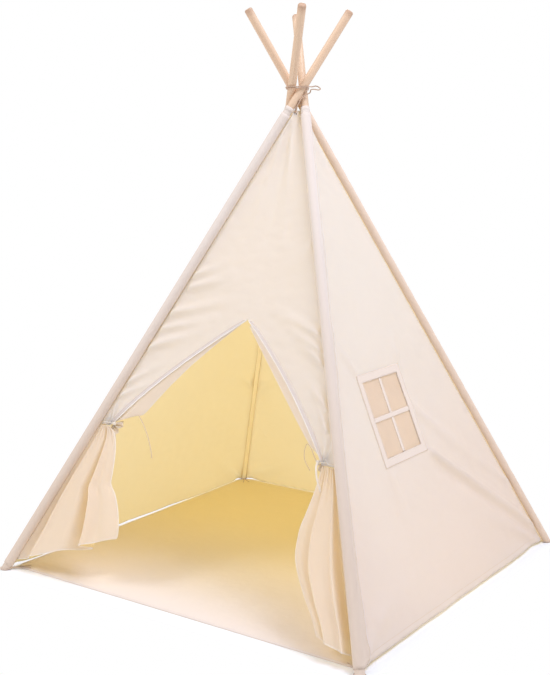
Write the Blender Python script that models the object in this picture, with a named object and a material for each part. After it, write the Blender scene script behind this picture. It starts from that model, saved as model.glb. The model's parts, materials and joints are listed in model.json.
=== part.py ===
"""A four-pole play teepee: poles in three sections, cloth walls with pole sleeves, tied-back door, mat.

The door looks along -Y, the floor is z = 0 and the poles cross above the origin. Lengths are metres.
The front pair of poles and the front wall fold towards the back pair about the lashing.
"""

import math

import bmesh
import bpy
import numpy as np
from mathutils import Vector

# Overall size
base_side = 1.200
apex_height = 1.395

# Poles
pole_diameter = 0.024
pole_length = 1.905
pole_gap = 0.0005
sections_per_pole = 3
pole_sides = 20
tip_round = 0.005
tip_steps = 3
foot_chamfer = 0.0015
ferrule_length = 0.060
ferrule_wall = 0.0015
spigot_chamfer = 0.001
fit_clearance = 0.0003

# Pole sleeves
sleeve_wall = 0.0010
sleeve_top = 0.045
sleeve_cuff = 0.012
cuff_thickness = 0.0008
pocket_floor = 0.0012
sleeve_sides = 24

# Cloth walls
cloth_thickness = 0.0016
hem_clearance = 0.009
wall_top_drop = 0.008
seam_angle = math.radians(26)
seam_bite_share = 0.35
wall_belly = 0.007
wall_columns = 12
wall_rows = 14
rows_below_window = 3
rows_above_window = 5
columns_beside_window = 3

# Door in the front wall
door_apex_height = 0.769
door_apex_side = 0.018
tie_height = 0.436
tie_inset = 0.0515
door_bow = 0.021
door_rows = 9
door_columns = 5

# Turned-in facings along both edges of the door
facing_lap = 0.008
facing_curl = 0.010
facing_lift = 0.0035
facing_top_share = 0.955
facing_rows = 10
facing_columns = 4
left_facing_width = 0.095
left_facing_reach_share = 0.75
left_facing_growth = 1.3
right_facing_width = 0.034
right_facing_growth = 0.6

# Door flaps below the ties
flap_top_gap = 0.002
flap_rows = 14
flap_columns = 26
flap_fold_count = 3.5
flap_fold_top = 0.003
flap_fold_bottom = 0.017
flap_fold_growth = 0.7
flap_sewn_share = 0.25
flap_curve_share = 0.55
flap_turn_start_share = 0.35
flap_turn_width_share = 0.5
flap_turn_height_share = 0.5
flap_hem_outer = 0.032
left_flap_hem_inner = 0.153
left_flap_hem_width = 0.298
left_flap_turn = 0.035
left_flap_bulge = 0.0
right_flap_hem_inner = 0.062
right_flap_hem_width = 0.121
right_flap_turn = 0.012
right_flap_bulge = 0.050

# Window in the right wall
window_width = 0.205
window_height = 0.218
window_low = 0.410
window_side = -0.052
window_band = 0.024
mullion_width = 0.014
trim_thickness = 0.0010
pane_lap = 0.010
window_columns = 6
window_rows = 6

# Floor mat
mat_margin = 0.030
mat_thickness = 0.0025
mat_corner = 0.018
mat_corner_steps = 4
mat_tie_diameter = 0.0024
mat_tie_tail = 0.055
mat_tie_spread = 0.009
mat_tie_steps = 18
mat_tie_tail_steps = 5

# Door ties; the left loose end hangs from the facing's corner, the right one from its knot
tie_diameter = 0.0030
tie_rise = 0.007
tie_inset_share = 0.06
tie_bend_steps = 6
knot_width = 0.009
knot_height = 0.007
knot_sides = 12
knot_rings = 8
tail_diameter = 0.0026
tail_point_spacing = 0.0065
left_tail_route = [
    (0.0, 0.0, -0.005),
    (0.006, -0.001, -0.012),
    (0.024, -0.004, -0.024),
    (0.046, -0.008, -0.042),
    (0.064, -0.013, -0.066),
    (0.074, -0.018, -0.094),
]
right_tail_route = [
    (0.002, -0.018, -0.008),
    (0.007, -0.028, -0.026),
    (0.011, -0.036, -0.046),
    (0.023, -0.044, -0.068),
    (0.033, -0.050, -0.082),
]

# Lashing
lash_diameter = 0.0035
lash_rise = 0.014
lash_turns = 2
lash_gap = 0.0007
lash_slack = 0.0012
strand_spread = 0.0038
lash_points_per_turn = 24
lash_point_spacing = 0.0049
lash_start = math.radians(8)
hull_step = 3
hull_least_facing_share = 0.2
bow_length = 0.032
bow_width = 0.011
eyelet_radius = 0.0042
eyelet_hole = 0.0022
eyelet_thickness = 0.0012
eyelet_drop = 0.009
eyelet_share = 0.27
eyelet_sides = 16

pole_radius = pole_diameter / 2
bore_radius = pole_radius + fit_clearance
sleeve_radius = bore_radius + sleeve_wall
flap_seam_reach = sleeve_radius + fit_clearance + cloth_thickness * seam_bite_share
wall_seam_reach = flap_seam_reach + cuff_thickness
spigot_radius = pole_radius - ferrule_wall - fit_clearance
half_base = base_side / 2
mat_side = base_side - 2 * mat_margin
curve_parts = 16
lean = math.atan2(math.hypot(half_base, half_base), apex_height)
corners = {
    "front_left": (-1, -1),
    "front_right": (1, -1),
    "back_right": (1, 1),
    "back_left": (-1, 1),
}


def clear_scene():
    for old in list(bpy.data.objects):
        bpy.data.objects.remove(old, do_unlink=True)


def material(name, colour, roughness, metallic=0.0):
    made = bpy.data.materials.new(name)
    made.use_nodes = True
    shader = made.node_tree.nodes["Principled BSDF"]
    shader.inputs["Base Color"].default_value = (*colour, 1.0)
    shader.inputs["Roughness"].default_value = roughness
    shader.inputs["Metallic"].default_value = metallic
    return made


def new_object(name, mesh, finish):
    mesh.materials.append(finish)
    made = bpy.data.objects.new(name, mesh)
    bpy.context.scene.collection.objects.link(made)
    return made


def mesh_from(name, points, faces):
    mesh = bpy.data.meshes.new(name)
    mesh.from_pydata([tuple(point) for point in points], [], faces)
    mesh.update()
    return mesh


def smooth(mesh, angle=math.radians(35)):
    mesh.shade_smooth()
    mesh.set_sharp_from_angle(angle=angle)


def blend_between(low, high, share):
    return low + (high - low) * share


def ease(share):
    """Rises from 0 to 1 with a level start and end."""
    share = min(max(share, 0.0), 1.0)
    return share * share * (3 - 2 * share)


class Pole:
    """One pole's axis, from its foot on the floor to its crossing with the others and on to its tip."""

    def __init__(self, corner, offset):
        self.sign = Vector((*corners[corner], 0.0))
        out = self.sign.normalized()
        around = Vector((-out.y, out.x, 0.0))
        foot_height = pocket_floor + fit_clearance + pole_radius * math.sin(lean)
        self.foot = Vector((self.sign.x * half_base, self.sign.y * half_base, foot_height))
        self.cross = Vector((0.0, 0.0, apex_height)) + around * offset
        self.up = (self.cross - self.foot).normalized()
        self.inward = -(out - self.up * out.dot(self.up)).normalized()

    def at_height(self, height):
        return self.foot + self.up * ((height - self.foot.z) / self.up.z)

    def distance(self, other):
        across = self.up.cross(other.up).normalized()
        return abs((self.foot - other.foot).dot(across))

    def seam(self, neighbour, height, reach):
        """The point beside the sleeve, at a height, where the wall towards a neighbour begins."""
        towards = neighbour.foot - self.foot
        side = self.up.cross(self.inward)
        if side.dot(towards) < 0:
            side = -side
        away = self.inward * math.cos(seam_angle) + side * math.sin(seam_angle)
        start = self.foot + away * reach
        return start + self.up * ((height - start.z) / self.up.z)


def half_width(height):
    """Half the distance between two neighbouring poles at a height."""
    return half_base * (1 - height / apex_height)


def crossing_offset():
    """How far each pole passes beside the centre, so that neighbours clear each other by pole_gap."""
    offset = pole_diameter
    for step in range(3):
        reached = Pole("front_left", offset).distance(Pole("front_right", offset))
        offset *= (pole_diameter + pole_gap) / reached
    return offset


def turned(name, profile, pole, sides, finish, ring=False):
    """A body turned about a pole's axis, from (radius, distance along the pole) pairs."""
    shape = bmesh.new()
    loops = []
    for radius, along in profile:
        loop = []
        for side in range(sides):
            angle = 2 * math.pi * side / sides
            loop.append(shape.verts.new((radius * math.cos(angle), radius * math.sin(angle), along)))
        loops.append(loop)
    spans = len(loops) if ring else len(loops) - 1
    for index in range(spans):
        low, high = loops[index], loops[(index + 1) % len(loops)]
        for side in range(sides):
            after = (side + 1) % sides
            shape.faces.new((low[side], low[after], high[after], high[side]))
    if not ring:
        shape.faces.new(loops[0][::-1])
        shape.faces.new(loops[-1])
    bmesh.ops.recalc_face_normals(shape, faces=shape.faces)
    mesh = bpy.data.meshes.new(name)
    shape.to_mesh(mesh)
    shape.free()
    smooth(mesh)
    made = new_object(name, mesh, finish)
    made.location = pole.foot
    made.rotation_mode = "QUATERNION"
    made.rotation_quaternion = pole.up.to_track_quat("Z", "Y")
    return made


def section_profile(low, high, first, last):
    """One pole section: a chamfered foot or a spigot below, a spigot or a rounded tip above."""
    half_ferrule = ferrule_length / 2
    profile = []
    if first:
        profile.append((pole_radius - foot_chamfer, low))
        profile.append((pole_radius, low + foot_chamfer))
    else:
        end = low + fit_clearance / 2
        profile.append((spigot_radius - spigot_chamfer, end))
        profile.append((spigot_radius, end + spigot_chamfer))
        profile.append((spigot_radius, low + half_ferrule + fit_clearance))
        profile.append((pole_radius, low + half_ferrule + fit_clearance))
    if last:
        for step in range(tip_steps + 1):
            angle = math.pi / 2 * step / tip_steps
            radius = pole_radius - tip_round * (1 - math.cos(angle))
            profile.append((radius, high - tip_round * (1 - math.sin(angle))))
    else:
        end = high - fit_clearance / 2
        profile.append((pole_radius, high - half_ferrule - fit_clearance))
        profile.append((spigot_radius, high - half_ferrule - fit_clearance))
        profile.append((spigot_radius, end - spigot_chamfer))
        profile.append((spigot_radius - spigot_chamfer, end))
    return profile


def ferrule_profile(middle):
    half = ferrule_length / 2
    inner = pole_radius - ferrule_wall
    return [
        (pole_radius, middle - half),
        (pole_radius, middle + half),
        (inner, middle + half),
        (inner, middle - half),
    ]


def make_pole(corner, pole, wood, steel):
    names = ("lower", "middle", "upper")
    step = pole_length / sections_per_pole
    for index in range(sections_per_pole):
        first, last = index == 0, index == sections_per_pole - 1
        profile = section_profile(index * step, (index + 1) * step, first, last)
        turned(f"pole_{corner}_{names[index]}", profile, pole, pole_sides, wood)
        if not last:
            middle = (index + 1) * step
            name = f"ferrule_{corner}_{names[index]}"
            turned(name, ferrule_profile(middle), pole, pole_sides, steel, ring=True)


def make_sleeve(corner, pole, finish):
    """A cloth tube round the pole with a closed pocket that stands flat on the floor and a hemmed rim."""
    top = (pole.cross - pole.foot).length - sleeve_top
    side_way = pole.up.cross(pole.inward)

    def square_ring(radius, along):
        centre = pole.foot + pole.up * along
        ring = []
        for side in range(sleeve_sides):
            angle = 2 * math.pi * side / sleeve_sides
            ring.append(centre + (pole.inward * math.cos(angle) + side_way * math.sin(angle)) * radius)
        return ring

    def level_ring(radius, height):
        """The ring where a tube of this radius meets a level plane."""
        return [p + pole.up * ((height - p.z) / pole.up.z) for p in square_ring(radius, 0.0)]

    rim_radius = sleeve_radius + cuff_thickness
    rings = [
        level_ring(sleeve_radius, 0.0),
        square_ring(sleeve_radius, top - sleeve_cuff),
        square_ring(rim_radius, top - sleeve_cuff),
        square_ring(rim_radius, top),
        square_ring(bore_radius, top),
        level_ring(bore_radius, pocket_floor),
    ]
    points = [point for ring in rings for point in ring]
    faces = []
    for index in range(len(rings) - 1):
        low, high = index * sleeve_sides, (index + 1) * sleeve_sides
        for side in range(sleeve_sides):
            after = (side + 1) % sleeve_sides
            faces.append((low + side, low + after, high + after, high + side))
    faces.append(tuple(range(sleeve_sides))[::-1])
    last = (len(rings) - 1) * sleeve_sides
    faces.append(tuple(range(last, last + sleeve_sides)))
    mesh = mesh_from(f"sleeve_{corner}", points, faces)
    smooth(mesh)
    return new_object(f"sleeve_{corner}", mesh, finish)


class Wall:
    """The surface of one cloth wall, stretched between the seams of two neighbouring sleeves."""

    def __init__(self, left, right, reach=wall_seam_reach):
        self.left = left
        self.right = right
        self.reach = reach
        self.top = apex_height - sleeve_top * left.up.z - wall_top_drop

    def flat(self, across, height):
        """A point of the wall without its belly; across runs from 0 at the left seam to 1."""
        start = self.left.seam(self.right, height, self.reach)
        end = self.right.seam(self.left, height, self.reach)
        return start.lerp(end, across)

    def outward(self, across, height):
        probe = cloth_thickness
        along = self.flat(1.0, height) - self.flat(0.0, height)
        rise = self.flat(across, height + probe) - self.flat(across, height)
        way = along.cross(rise).normalized()
        centre = Vector((0.0, 0.0, height))
        return way if way.dot(self.flat(across, height) - centre) > 0 else -way

    def point(self, across, height, lift=0.0):
        rise_share = (height - hem_clearance) / (self.top - hem_clearance)
        sag = wall_belly * 4 * across * (1 - across) * math.sin(math.pi * min(max(rise_share, 0), 1))
        return self.flat(across, height) + self.outward(across, height) * (lift - sag)

    def share_of(self, place, axis, height):
        """The across share at which the wall's x (axis 0) or y (axis 1) has a given value."""
        start = self.flat(0.0, height)[axis]
        end = self.flat(1.0, height)[axis]
        return (place - start) / (end - start)


def sheet(name, rows, finish, thickness, gaps=()):
    """A sheet of cloth from rows of points; gaps lists the (row, column) cells that are left open."""
    shape = bmesh.new()
    placed = [[shape.verts.new(point) for point in row] for row in rows]
    for row in range(len(rows) - 1):
        for column in range(len(rows[row]) - 1):
            if (row, column) in gaps:
                continue
            low, high = placed[row], placed[row + 1]
            shape.faces.new((low[column], low[column + 1], high[column + 1], high[column]))
    bmesh.ops.delete(shape, geom=[v for v in shape.verts if not v.link_faces], context="VERTS")
    bmesh.ops.remove_doubles(shape, verts=shape.verts, dist=fit_clearance / 10)
    mesh = bpy.data.meshes.new(name)
    shape.to_mesh(mesh)
    shape.free()
    mesh.shade_smooth()
    made = new_object(name, mesh, finish)
    solid = made.modifiers.new("cloth thickness", "SOLIDIFY")
    solid.thickness = thickness
    solid.offset = 0.0
    solid.use_even_offset = True
    return made


def spread(start, end, count):
    return [blend_between(start, end, step / count) for step in range(count + 1)]


def make_plain_wall(name, wall, finish):
    rows = []
    for height in spread(hem_clearance, wall.top, wall_rows):
        rows.append([wall.point(across, height) for across in spread(0.0, 1.0, wall_columns)])
    return sheet(name, rows, finish, cloth_thickness)


def door_share(height):
    """0 at the door ties and 1 at the door's apex."""
    return (height - tie_height) / (door_apex_height - tie_height)


def front_x(sign, height):
    """Where the door's edge lies at a height; the tied-back cloth bows it outward."""
    low, high = sign * (half_width(tie_height) - tie_inset), door_apex_side
    share = door_share(height)
    return blend_between(low, high, share) + sign * door_bow * 4 * share * (1 - share)


def make_front_wall(wall, finish):
    """The front wall: whole above the door's apex, and two narrowing strips beside the door below it."""
    heights = spread(tie_height, door_apex_height, door_rows)
    heights += spread(door_apex_height, wall.top, wall_rows - door_rows)[1:]
    rows = []
    gaps = []
    for row, height in enumerate(heights):
        edges = []
        for sign in (-1, 1):
            inner = front_x(sign, min(height, door_apex_height))
            if height > door_apex_height:
                narrowing = wall.share_of(door_apex_side, 0, door_apex_height)
                edges.append(narrowing)
            else:
                edges.append(wall.share_of(inner, 0, height))
        across = spread(0.0, edges[0], door_columns) + spread(edges[1], 1.0, door_columns)
        rows.append([wall.point(share, height) for share in across])
        gaps.append((row, door_columns))
    return sheet("front_wall", rows, finish, cloth_thickness, gaps)


def left_facing_depth(share):
    narrowing = max(0.0, 1 - share / left_facing_reach_share)
    return left_facing_width * narrowing ** left_facing_growth


def right_facing_depth(share):
    return right_facing_width * max(0.0, math.sin(math.pi * share)) ** right_facing_growth


def make_facing(name, wall, sign, depth_at, finish):
    """The turned-in border of the door cloth, behind the front wall's edge; returns its low corner."""
    low = tie_height + tie_rise + tie_diameter / 2 + facing_lift
    high = blend_between(tie_height, door_apex_height, facing_top_share)
    lift = -cloth_thickness - fit_clearance
    rows = []
    for height in spread(low, high, facing_rows):
        edge = front_x(sign, height)
        reach = facing_lap + depth_at(door_share(height))
        row = []
        for across in spread(0.0, 1.0, facing_columns):
            share = wall.share_of(edge + sign * facing_lap - sign * reach * across, 0, height)
            row.append(wall.point(share, height, lift - facing_curl * reach / left_facing_width * across ** 2))
        rows.append(row)
    sheet(name, rows, finish, cloth_thickness)
    return rows[0][-1]


def make_right_wall(wall, finish):
    """The right wall with its window cut out; columns run straight beside the window."""
    slope = (wall.flat(0.5, wall.top) - wall.flat(0.5, hem_clearance)).normalized()
    window_high = window_low + window_height * slope.z
    low_side = window_side - window_width / 2
    high_side = window_side + window_width / 2
    heights = spread(hem_clearance, window_low, rows_below_window)
    heights += spread(window_low, window_high, window_rows)[1:]
    heights += spread(window_high, wall.top, rows_above_window)[1:]
    rows = []
    for height in heights:
        level = min(max(height, window_low), window_high)
        left = wall.share_of(low_side, 1, level)
        right = wall.share_of(high_side, 1, level)
        across = spread(0.0, left, columns_beside_window)
        across += spread(left, right, window_columns)[1:]
        across += spread(right, 1.0, columns_beside_window)[1:]
        rows.append([wall.point(share, height) for share in across])
    gaps = set()
    for row in range(window_rows):
        for column in range(window_columns):
            gaps.add((rows_below_window + row, columns_beside_window + column))
    sheet("right_wall", rows, finish, cloth_thickness, gaps)
    return window_high


def window_sheet(name, wall, sides, heights, lift, finish, thickness, gaps=()):
    """A piece sewn on the right wall: y places across, heights upward, lifted off the wall's middle."""
    rows = []
    for height in heights:
        rows.append([wall.point(wall.share_of(side, 1, height), height, lift) for side in sides])
    return sheet(name, rows, finish, thickness, gaps)


def make_window(wall, window_high, band_finish, pane_finish):
    """A band round the opening, sheer cloth behind it, and two crossed strips in front of the cloth."""
    rise_share = (window_high - window_low) / window_height
    low_side = window_side - window_width / 2
    high_side = window_side + window_width / 2
    band_rise = window_band * rise_share
    lap_rise = pane_lap * rise_share
    bar_rise = mullion_width * rise_share
    middle = (window_low + window_high) / 2
    half_cloth = cloth_thickness / 2

    sides = [low_side - window_band] + spread(low_side, high_side, window_columns)
    sides += [high_side + window_band]
    heights = [window_low - band_rise] + spread(window_low, window_high, window_rows)
    heights += [window_high + band_rise]
    gaps = set()
    for row in range(1, 1 + window_rows):
        for column in range(1, 1 + window_columns):
            gaps.add((row, column))
    band_lift = half_cloth + fit_clearance + trim_thickness / 2
    window_sheet("window_frame", wall, sides, heights, band_lift, band_finish, trim_thickness, gaps)

    pane_sides = spread(low_side - pane_lap, high_side + pane_lap, window_columns)
    pane_heights = spread(window_low - lap_rise, window_high + lap_rise, window_rows)
    pane_lift = -half_cloth - fit_clearance - trim_thickness / 2
    window_sheet("window_pane", wall, pane_sides, pane_heights, pane_lift, pane_finish, trim_thickness)

    bar_sides = spread(window_side - mullion_width / 2, window_side + mullion_width / 2, 1)
    bar_heights = spread(window_low + fit_clearance, window_high - fit_clearance, window_rows)
    upright_lift = -half_cloth + trim_thickness / 2
    window_sheet(
        "window_mullion_upright", wall, bar_sides, bar_heights, upright_lift, band_finish, trim_thickness
    )
    cross_sides = spread(low_side + fit_clearance, high_side - fit_clearance, window_columns)
    cross_heights = spread(middle - bar_rise / 2, middle + bar_rise / 2, 1)
    level_lift = upright_lift + trim_thickness + fit_clearance
    window_sheet(
        "window_mullion_level", wall, cross_sides, cross_heights, level_lift, band_finish, trim_thickness
    )


def make_flap(name, wall, sign, hem_width, hem_inner, turn, bulge, finish):
    """The cloth that hangs below a door tie: gathered at the tie, sewn along the sleeve, loose inside."""
    top = tie_height - flap_top_gap
    tie_side = half_width(tie_height) - tie_inset
    hem_side = half_width(hem_inner) - hem_width
    rows = []
    for row in range(flap_rows + 1):
        down = row / flap_rows
        outer = blend_between(top, flap_hem_outer, down)
        inner = blend_between(top, hem_inner, down)
        reach = blend_between(tie_side, hem_side, blend_between(down, ease(down), flap_curve_share))
        reach -= bulge * math.sin(math.pi * down) ** 2
        fold = blend_between(flap_fold_top, flap_fold_bottom, down ** flap_fold_growth)
        turn_here = turn * ease(down / flap_turn_height_share)
        line = []
        for column in range(flap_columns + 1):
            along = column / flap_columns
            height = blend_between(outer, inner, along)
            near = wall.share_of(sign * reach, 0, inner)
            start = 0.0 if sign < 0 else 1.0
            across = blend_between(start, near, along)
            loose = ease(along / flap_sewn_share)
            wave = math.sin(2 * math.pi * flap_fold_count * along) * fold * loose
            back = turn_here * ease((along - flap_turn_start_share) / flap_turn_width_share)
            line.append(wall.point(across, height, wave - back))
        rows.append(line)
    return sheet(name, rows, finish, cloth_thickness)


def tube(name, points, diameter, finish, sides_resolution=2):
    """A cord along hand-placed or computed points, with closed ends."""
    curve = bpy.data.curves.new(name, "CURVE")
    curve.dimensions = "3D"
    curve.bevel_depth = diameter / 2
    curve.bevel_resolution = sides_resolution
    curve.render_resolution_u = 0
    curve.use_fill_caps = True
    spline = curve.splines.new("POLY")
    spline.points.add(len(points) - 1)
    for place, point in zip(spline.points, points):
        place.co = (*point, 1.0)
    curve.materials.append(finish)
    made = bpy.data.objects.new(name, curve)
    bpy.context.scene.collection.objects.link(made)
    return made


def smooth_line(route, step):
    """Points every step along a smooth curve through the route's points."""
    route = [Vector(point) for point in route]
    ends = [route[0] * 2 - route[1]] + route + [route[-1] * 2 - route[-2]]
    fine = []
    for index in range(1, len(ends) - 2):
        before, start, end, after = ends[index - 1 : index + 3]
        for part in range(curve_parts):
            t = part / curve_parts
            spot = start * 2 + (end - before) * t
            spot += (before * 2 - start * 5 + end * 4 - after) * t ** 2
            spot += (start * 3 - before - end * 3 + after) * t ** 3
            fine.append(spot / 2)
    fine.append(route[-1])
    lengths = [0.0]
    for start, end in zip(fine, fine[1:]):
        lengths.append(lengths[-1] + (end - start).length)
    count = max(2, round(lengths[-1] / step))
    flat = np.array([tuple(point) for point in fine])
    wanted = np.linspace(0.0, lengths[-1], count + 1)
    columns = [np.interp(wanted, lengths, flat[:, axis]) for axis in range(3)]
    return [Vector(point) for point in zip(*columns)]


def least_gap(points, diameter):
    """The least gap between two stretches of one cord, leaving out its own neighbourhood."""
    line = np.array([tuple(point) for point in points])
    steps = np.linalg.norm(np.diff(line, axis=0), axis=1)
    along = np.concatenate([[0.0], np.cumsum(steps)])
    fine = np.linspace(0.0, along[-1], 6 * len(line))
    dense = np.stack([np.interp(fine, along, line[:, axis]) for axis in range(3)], axis=1)
    apart = np.linalg.norm(dense[:, None] - dense[None, :], axis=2)
    far_enough = np.abs(fine[:, None] - fine[None, :]) > 3 * diameter
    return float(apart[far_enough].min() - diameter)


def hull_radius(poles, height, angle, reach):
    """How far from the centre a cord lies that is pulled tight round all four poles at a height."""
    ray = Vector((math.cos(angle), math.sin(angle), 0.0))
    best = None
    for degree in range(0, 360, hull_step):
        facing = math.radians(degree)
        normal = Vector((math.cos(facing), math.sin(facing), 0.0))
        lined = Vector((-normal.y, normal.x, 0.0))
        if normal.dot(ray) < hull_least_facing_share:
            continue
        far = None
        for pole in poles:
            width = reach * math.sqrt(1 - pole.up.dot(lined) ** 2) / pole.up.z
            out = pole.at_height(height).dot(normal) + width
            far = out if far is None else max(far, out)
        radius = far / normal.dot(ray)
        best = radius if best is None else min(best, radius)
    return best


def make_lashing(poles, front, twine, metal):
    """Two turns of twine round the crossing, a bow at the side, and both ends down to the front wall."""
    pitch = lash_diameter + lash_gap
    reach = pole_radius + lash_diameter / 2 + lash_slack
    low = apex_height + lash_rise
    turns = []
    count = lash_turns * lash_points_per_turn
    for step in range(count + 1):
        turn = step / lash_points_per_turn
        angle = lash_start + 2 * math.pi * turn
        height = low + pitch * turn
        radius = hull_radius(poles, height, angle, reach)
        turns.append(Vector((radius * math.cos(angle), radius * math.sin(angle), height)))

    eyelet_height = front.top - eyelet_drop
    out = front.outward(eyelet_share, eyelet_height)
    lift = cloth_thickness / 2 + fit_clearance + eyelet_thickness / 2
    centre = front.point(eyelet_share, eyelet_height, lift)
    make_eyelet(centre, out, metal)

    radial = Vector((math.cos(lash_start), math.sin(lash_start), 0.0))
    around = Vector((-radial.y, radial.x, 0.0))
    start, end = turns[0], turns[-1]
    apart = lash_diameter + lash_gap * 2
    above = Vector((0.0, 0.0, apart))
    face = centre + out * (eyelet_thickness / 2 + fit_clearance + lash_diameter / 2)
    along = (front.flat(1.0, eyelet_height) - front.flat(0.0, eyelet_height)).normalized()
    first_end = face - along * (apart / 2)
    second_end = face + along * (apart / 2)
    clear = out * (lash_diameter * 1.6)
    aside = along * strand_spread
    first = [
        first_end,
        first_end.lerp(start, 0.35) + clear - aside * 0.7,
        first_end.lerp(start, 0.72) + clear + radial * lash_diameter - aside * 1.5,
        start - around * (apart * 2.6) + radial * (lash_diameter * 0.9) - above * 0.6,
    ]
    turn_out = end + around * (apart * 1.5) + radial * (lash_diameter * 1.5)
    bow_far = end + radial * bow_length - above
    second = [
        turn_out,
        end + around * (bow_width * 0.8) + radial * (bow_length * 0.55) + above * 0.4,
        bow_far + around * (bow_width * 0.35),
        bow_far - around * (bow_width * 0.45) - above,
        end - around * (bow_width * 0.55) + radial * (bow_length * 0.5) - above * 1.6,
        end + radial * (apart * 1.5) - around * (apart * 1.5) - above * 2.0,
        start - around * (apart * 0.6) + radial * (lash_diameter * 2.2) - above * 1.9,
        second_end.lerp(start, 0.62) + clear * 1.9 + radial * lash_diameter + aside * 0.3,
        second_end.lerp(start, 0.3) + clear * 1.5,
        second_end,
    ]
    route = smooth_line(first + turns[1:3], lash_point_spacing)[:-1]
    route += turns[2:-1]
    route += smooth_line([turns[-2], end] + second, lash_point_spacing)[1:]
    gap = least_gap(route, lash_diameter)
    print(f"lash_cord: least gap to itself {gap * 1000:.2f} mm, {len(route)} points")
    tube("lash_cord", route, lash_diameter, twine, 1)


def make_eyelet(centre, out, finish):
    """A small pressed metal ring, lying on the front wall's face."""
    shape = bmesh.new()
    loops = []
    half = eyelet_thickness / 2
    for radius, height in (
        (eyelet_radius, -half),
        (eyelet_radius, half),
        (eyelet_hole, half),
        (eyelet_hole, -half),
    ):
        loop = []
        for side in range(eyelet_sides):
            angle = 2 * math.pi * side / eyelet_sides
            loop.append(shape.verts.new((radius * math.cos(angle), radius * math.sin(angle), height)))
        loops.append(loop)
    for index, low in enumerate(loops):
        high = loops[(index + 1) % len(loops)]
        for side in range(eyelet_sides):
            after = (side + 1) % eyelet_sides
            shape.faces.new((low[side], low[after], high[after], high[side]))
    bmesh.ops.recalc_face_normals(shape, faces=shape.faces)
    mesh = bpy.data.meshes.new("top_eyelet")
    shape.to_mesh(mesh)
    shape.free()
    smooth(mesh)
    made = new_object("top_eyelet", mesh, finish)
    made.location = centre
    made.rotation_mode = "QUATERNION"
    made.rotation_quaternion = out.to_track_quat("Z", "Y")
    return made


def make_mat(finish):
    """The floor mat: a thin square with rounded corners, lying flat on the floor."""
    half = mat_side / 2
    outline = []
    for sx, sy, start in ((1, 1, 0), (-1, 1, 90), (-1, -1, 180), (1, -1, 270)):
        for step in range(mat_corner_steps + 1):
            angle = math.radians(start + 90 * step / mat_corner_steps)
            x = sx * (half - mat_corner) + mat_corner * math.cos(angle)
            y = sy * (half - mat_corner) + mat_corner * math.sin(angle)
            outline.append((x, y))
    count = len(outline)
    points = [(x, y, 0.0) for x, y in outline] + [(x, y, mat_thickness) for x, y in outline]
    faces = [tuple(range(count))[::-1], tuple(range(count, 2 * count))]
    for index in range(count):
        after = (index + 1) % count
        faces.append((index, after, count + after, count + index))
    return new_object("floor_mat", mesh_from("floor_mat", points, faces), finish)


def make_mat_tie(corner, pole, finish):
    """A cord round the foot of a sleeve, both ends lying on the corner of the mat."""
    radius = mat_tie_diameter / 2
    height = mat_thickness + fit_clearance + radius
    centre = pole.at_height(height)
    reach = sleeve_radius + radius + fit_clearance
    inward = Vector((-pole.sign.x, -pole.sign.y, 0.0)).normalized()
    side_way = Vector((-inward.y, inward.x, 0.0))
    long_reach = reach / pole.up.z
    half_gap = mat_tie_diameter
    opening = math.asin(min(half_gap / reach, 1.0))
    loop = []
    for step in range(mat_tie_steps + 1):
        angle = blend_between(opening, 2 * math.pi - opening, step / mat_tie_steps)
        spot = inward * (long_reach * math.cos(angle)) + side_way * (reach * math.sin(angle))
        loop.append(centre + spot)
    first_tail = []
    last_tail = []
    for step in range(mat_tie_tail_steps):
        share = 1 - step / mat_tie_tail_steps
        out = inward * (long_reach + mat_tie_tail * share)
        bend = side_way * (half_gap + mat_tie_spread * share * share)
        first_tail.append(centre + out + bend)
        last_tail.append(centre + out - bend)
    points = first_tail + loop + last_tail[::-1]
    gap = least_gap(points, mat_tie_diameter)
    print(f"mat_tie_{corner}: least gap to itself {gap * 1000:.2f} mm")
    return tube(f"mat_tie_{corner}", points, mat_tie_diameter, finish, 1)


def knot_solid(name, centre, finish):
    """A small tight knot, as a squashed ball."""
    shape = bmesh.new()
    bmesh.ops.create_uvsphere(shape, u_segments=knot_sides, v_segments=knot_rings, radius=0.5)
    for vert in shape.verts:
        vert.co.x *= knot_width
        vert.co.y *= knot_width
        vert.co.z *= knot_height
    mesh = bpy.data.meshes.new(name)
    shape.to_mesh(mesh)
    shape.free()
    mesh.shade_smooth()
    made = new_object(name, mesh, finish)
    made.location = centre
    return made


def make_door_tie(side_name, wall, sign, finish):
    """A cord from the sleeve's seam round the gathered edge and back, and its knot."""
    height = tie_height + tie_rise
    lift = cloth_thickness / 2 + fit_clearance + tie_diameter / 2
    start = 0.0 if sign < 0 else 1.0
    near = wall.share_of(front_x(sign, height), 0, height)
    edge = wall.point(near, height)
    width_way = (wall.flat(1.0, height) - wall.flat(0.0, height)).normalized() * -sign
    out = wall.outward(near, height)
    beyond = edge + width_way * lift
    first = blend_between(start, near, tie_inset_share)
    front = [wall.point(blend_between(first, near, share), height, lift) for share in (0.0, 0.5, 1.0)]
    back = [wall.point(blend_between(first, near, share), height, -lift) for share in (1.0, 0.5, 0.0)]
    bend = []
    for step in range(1, tie_bend_steps):
        angle = math.pi * step / tie_bend_steps
        bend.append(edge + width_way * (lift * math.sin(angle)) + out * (lift * math.cos(angle)))
    tube(f"door_tie_{side_name}", front + bend + back, tie_diameter, finish, 1)
    knot_centre = beyond + width_way * (tie_diameter / 2 + fit_clearance + knot_width / 2)
    knot_solid(f"door_tie_{side_name}_knot", knot_centre, finish)
    return knot_centre


def make_tail(side_name, start, clear, route, finish):
    """A loose tie end that leaves its start by a clear distance and follows its route."""
    points = [start + Vector(route[0]).normalized() * clear] + [start + Vector(point) for point in route]
    tube(f"door_tie_{side_name}_tail", smooth_line(points, tail_point_spacing), tail_diameter, finish)


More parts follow.
